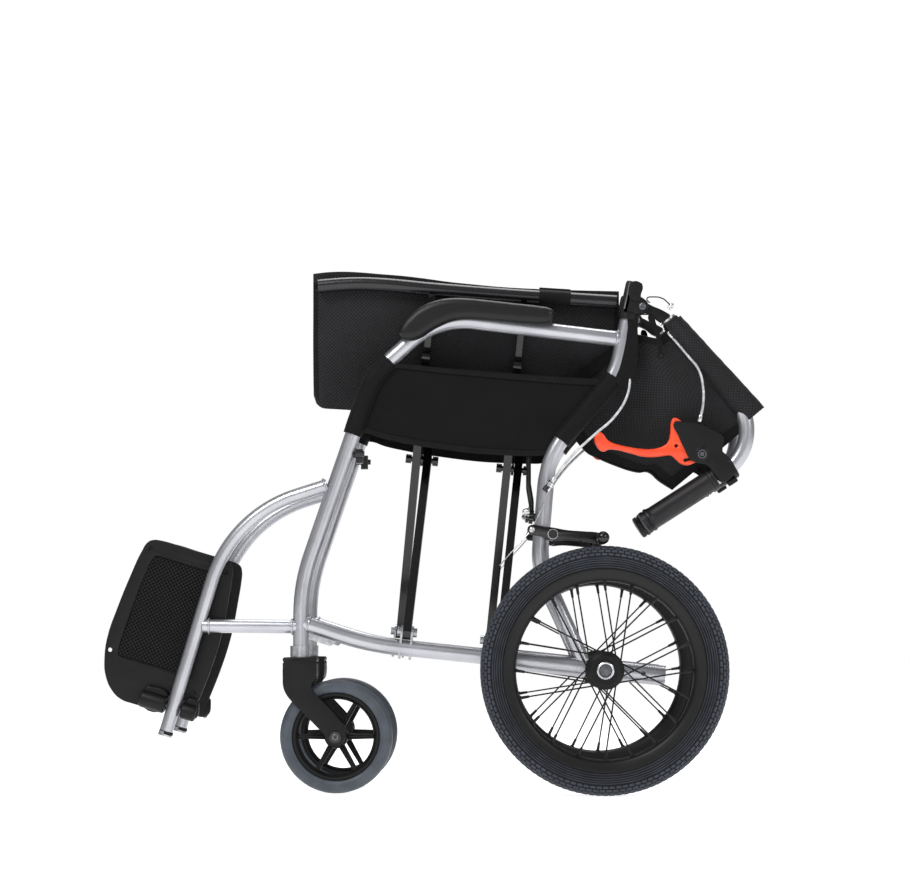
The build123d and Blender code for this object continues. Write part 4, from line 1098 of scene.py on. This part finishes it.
def makeCables():
    spec = cables
    for which, body in (("lower", "side"), ("upper", "back")):
        line = [Vector(point) for point in spec[which]]
        housing = tubeAlong(line, spec["radius"], steps=14, sideSteps=5)
        ends = bmesh.new()
        for end, inward in ((line[0], line[1]), (line[-1], line[-2])):
            ends = joined(ends, spun(spec["ferrule"], end, inward - end, 20))
        bothSides(housing, f"cable_{which}", "cableJacket", body, [f"brake_cable_{which}"], 60)
        bothSides(ends, f"cable_{which}_ends", "zincPlate", body)


makeCables()
print("cables made")


# Wheel brake
brake = {
    "arm": [(135.6, 368), (138, 374.6), (144, 376.4), (158, 374), (171.5, 372.4), (190, 369), (215, 367),
            (236, 365), (245.6, 361), (247, 354), (242, 350), (232, 350.6), (212, 353), (190, 354.6),
            (171.5, 354), (158, 358.6), (144, 361.6), (137.6, 363)],
    "pivot": (171.5, 363.0), "roller": (240.2, 356.4), "screw": (142.3, 369.2),
    "rollerProfile": [(161.4, 0), (161, 2.8), (159.4, 5.8), (156.6, 8), (153, 8.9), (149.4, 8.4),
                      (147, 7.4), (120, 7.4), (119, 8.4), (112, 8.4), (110, 7), (108, 6), (108, 0)],
    "grooves": 9, "groovePitch": 3.8,
    "wire": [(166, -99, 430), (158, -101, 405), (149, -104, 385), (142.3, -107, 371)],
    "tail": [(138, -109, 365), (124, -109.6, 349), (108, -109, 332), (97, -108, 319)],
    "barrelAt": (171, -99, 439), "barrelWay": (-0.45, 0, -0.89), "barrelRibs": 9,
    "capAt": (139, -sidePlane, 395.5),
}


def makeBrake():
    spec = brake
    arm = outlinePlate(spec["arm"], -108.5, -104.0, 1.1)
    pad = Vector((spec["roller"][0], 0, spec["roller"][1]))
    roller = spun(spec["rollerProfile"], pad, (0, -1, 0), 36)
    grooves = bmesh.new()
    for k in range(spec["grooves"]):
        y = 122 + spec["groovePitch"] * k
        ridge = [(y, 7.6), (y + 0.6, 8.6), (y + 2, 8.6), (y + 2.6, 7.6)]
        grooves = joined(grooves, spun(ridge, pad, (0, -1, 0), 28, closed=True))
    knob = spun([(104, 0), (104, 6), (102, 7.4), (100.6, 6.4), (100, 0)], pad, (0, -1, 0), 24)
    bothSides(joined(arm, roller, grooves, knob), "brake_bar", "blackEnamel", "brake",
              ["brake_arm"])
    pivot = Vector((spec["pivot"][0], 0, spec["pivot"][1]))
    bright = spun([(108.4, 5.8), (108.4, 7.3), (110, 7.3), (110, 5.8)], pivot, (0, -1, 0), 36, closed=True)
    screwAt = Vector((spec["screw"][0], -108.5, spec["screw"][1]))
    bright = joined(bright, domedHead(screwAt, (0, -1, 0), 4.4, 2.6),
                    domedHead(pivot - across * 108.4, (0, -1, 0), 2.2, 1.4))
    bothSides(bright, "brake_bright", "zincPlate", "brake")
    wire, tail = [tubeAlong([Vector(point) for point in spec[key]], radius, steps=6, sideSteps=2)
                  for key, radius in (("wire", 0.9), ("tail", 0.8))]
    barrel = spun([(0, 0), (0, 3.6), (3, 3.6), (3.6, 5.2), (10, 5.2), (10.6, 3.6), (16, 3.6), (16, 0)],
                  spec["barrelAt"], spec["barrelWay"], 18)
    for k in range(spec["barrelRibs"]):
        turn = Matrix.Rotation(2 * math.pi * k / spec["barrelRibs"], 4, "X")
        matrix = turnTo(spec["barrelWay"], spec["barrelAt"]) @ turn @ Matrix.Translation((6.8, 0, 5.2))
        barrel = joined(barrel, roundedBlock((6, 1.2, 1.2), 0.3, matrix, 1))
    cap = spun([(0, 0), (0, 6.4), (2, 6.4), (2.4, 5.4), (6, 5.2), (9, 3.6), (10, 1.6), (10.2, 0)],
               spec["capAt"], (-1, 0, 0), 24)
    bothSides(joined(wire, barrel, tail, cap), "cable_adjuster", "zincPlate", "side")


makeBrake()
print("brakes made")


# Weld beads where tubes are coped together, and plastic end caps
welds = {
    "joints": [  # place, way of the joining tube, its radius
        ((-314.5, 234.6), (1, 0, -0.01), 10.3), ((-196.5, 233.4), (-1, 0, -0.01), 10.3),
        ((264.5, 642.4), (-1, 0, 0.12), 11.9), ((-173.5, 236.2), (-1, 0, 0.32), 11.9),
        ((-151, 432.4), (0.95, 0, 0.3), 10.3),
    ],
    "ripples": 22, "footEnd": Vector((-373.4, -sidePlane, 87.0)),
}


def makeWelds():
    beads = bmesh.new()
    for (x, z), way, radius in welds["joints"]:
        at = Vector((x, -sidePlane, z))
        bead = spun([(-1.7, radius - 1.2), (-1.2, radius + 0.9), (0, radius + 1.5), (1.3, radius + 0.9),
                     (1.8, radius - 1.2)], at, way, 44, closed=True)
        for vert in bead.verts:
            turn = math.atan2(vert.co.y + sidePlane, vert.co.z - z)
            vert.co += (vert.co - at) * 0.012 * math.sin(welds["ripples"] * turn)
        beads = joined(beads, bead)
    bothSides(beads, "weld_beads", "silverLacquer", "side", (), 60)
    footWay = (-math.sin(footplate["lean"]), 0, -math.cos(footplate["lean"]))
    cap = spun([(0, 0), (0, 10), (1.2, 10.2), (4.4, 10.2), (5.6, 9), (6, 0)], welds["footEnd"], footWay, 40)
    bothSides(cap, "tube_caps", "mouldedNylon", "side")


makeWelds()
print("welds made")


# CAD parts keep their shape and take a finish
cadFinish = {
    "side_hoop": "silverLacquer", "back_post": "silverLacquer", "lower_rail": "silverLacquer",
    "leg_hanger": "silverLacquer", "back_tube": "silverLacquer", "frame_hardware": "fittings",
    "rear_axle": "dullSteel", "rear_spokes": "blackAnodised", "stay_link": "blackEnamel",
    "seat_rail": "greyPowder", "cross_tubes": "blackEnamel",
}
for name, node in nodes.items():
    stem = name.rsplit("_", 1)[0]
    for slot in node.material_slots:
        slot.material = finish[cadFinish.get(stem, "mouldedNylon")]


# Studio floor and light
def makeStudio():
    ground = bmesh.new()
    bmesh.ops.create_grid(ground, x_segments=1, y_segments=1, size=studio["floorSize"] / 2)
    mesh = bpy.data.meshes.new("floor")
    ground.to_mesh(mesh)
    ground.free()
    floor = bpy.data.objects.new("floor", mesh)
    scene.collection.objects.link(floor)
    paper = newFinish("paperFloor", {
        "Base Color": hexColor("ececec"), "Roughness": 0.95, "Specular IOR Level": 0.1,
        "Emission Color": hexColor("ffffff"), "Emission Strength": studio["floorGlow"]})
    mesh.materials.append(paper[0])
    for k, (at, aim, size, watts) in enumerate(studio["lamps"]):
        lamp = bpy.data.lights.new(f"lamp{k}", "AREA")
        lamp.size = size
        lamp.energy = watts
        holder = bpy.data.objects.new(f"lamp{k}", lamp)
        holder.location = at
        holder.rotation_euler = (Vector(aim) - Vector(at)).to_track_quat("-Z", "Y").to_euler()
        scene.collection.objects.link(holder)
    world = bpy.data.worlds.new("studio")
    scene.world = world
    world.use_nodes = True
    tree = world.node_tree
    back = tree.nodes["Background"]
    back.inputs["Color"].default_value = hexColor("ffffff")
    sky = addNode(tree, "LightPath")                     # white paper behind, softer light from it
    level = addNode(tree, "MapRange", values={"To Min": studio["worldLight"], "To Max": 1.0},
                    links={"Value": sky.outputs["Is Camera Ray"]})
    tree.links.new(level.outputs["Result"], back.inputs["Strength"])
    scene.view_settings.view_transform = "Standard"


makeStudio()
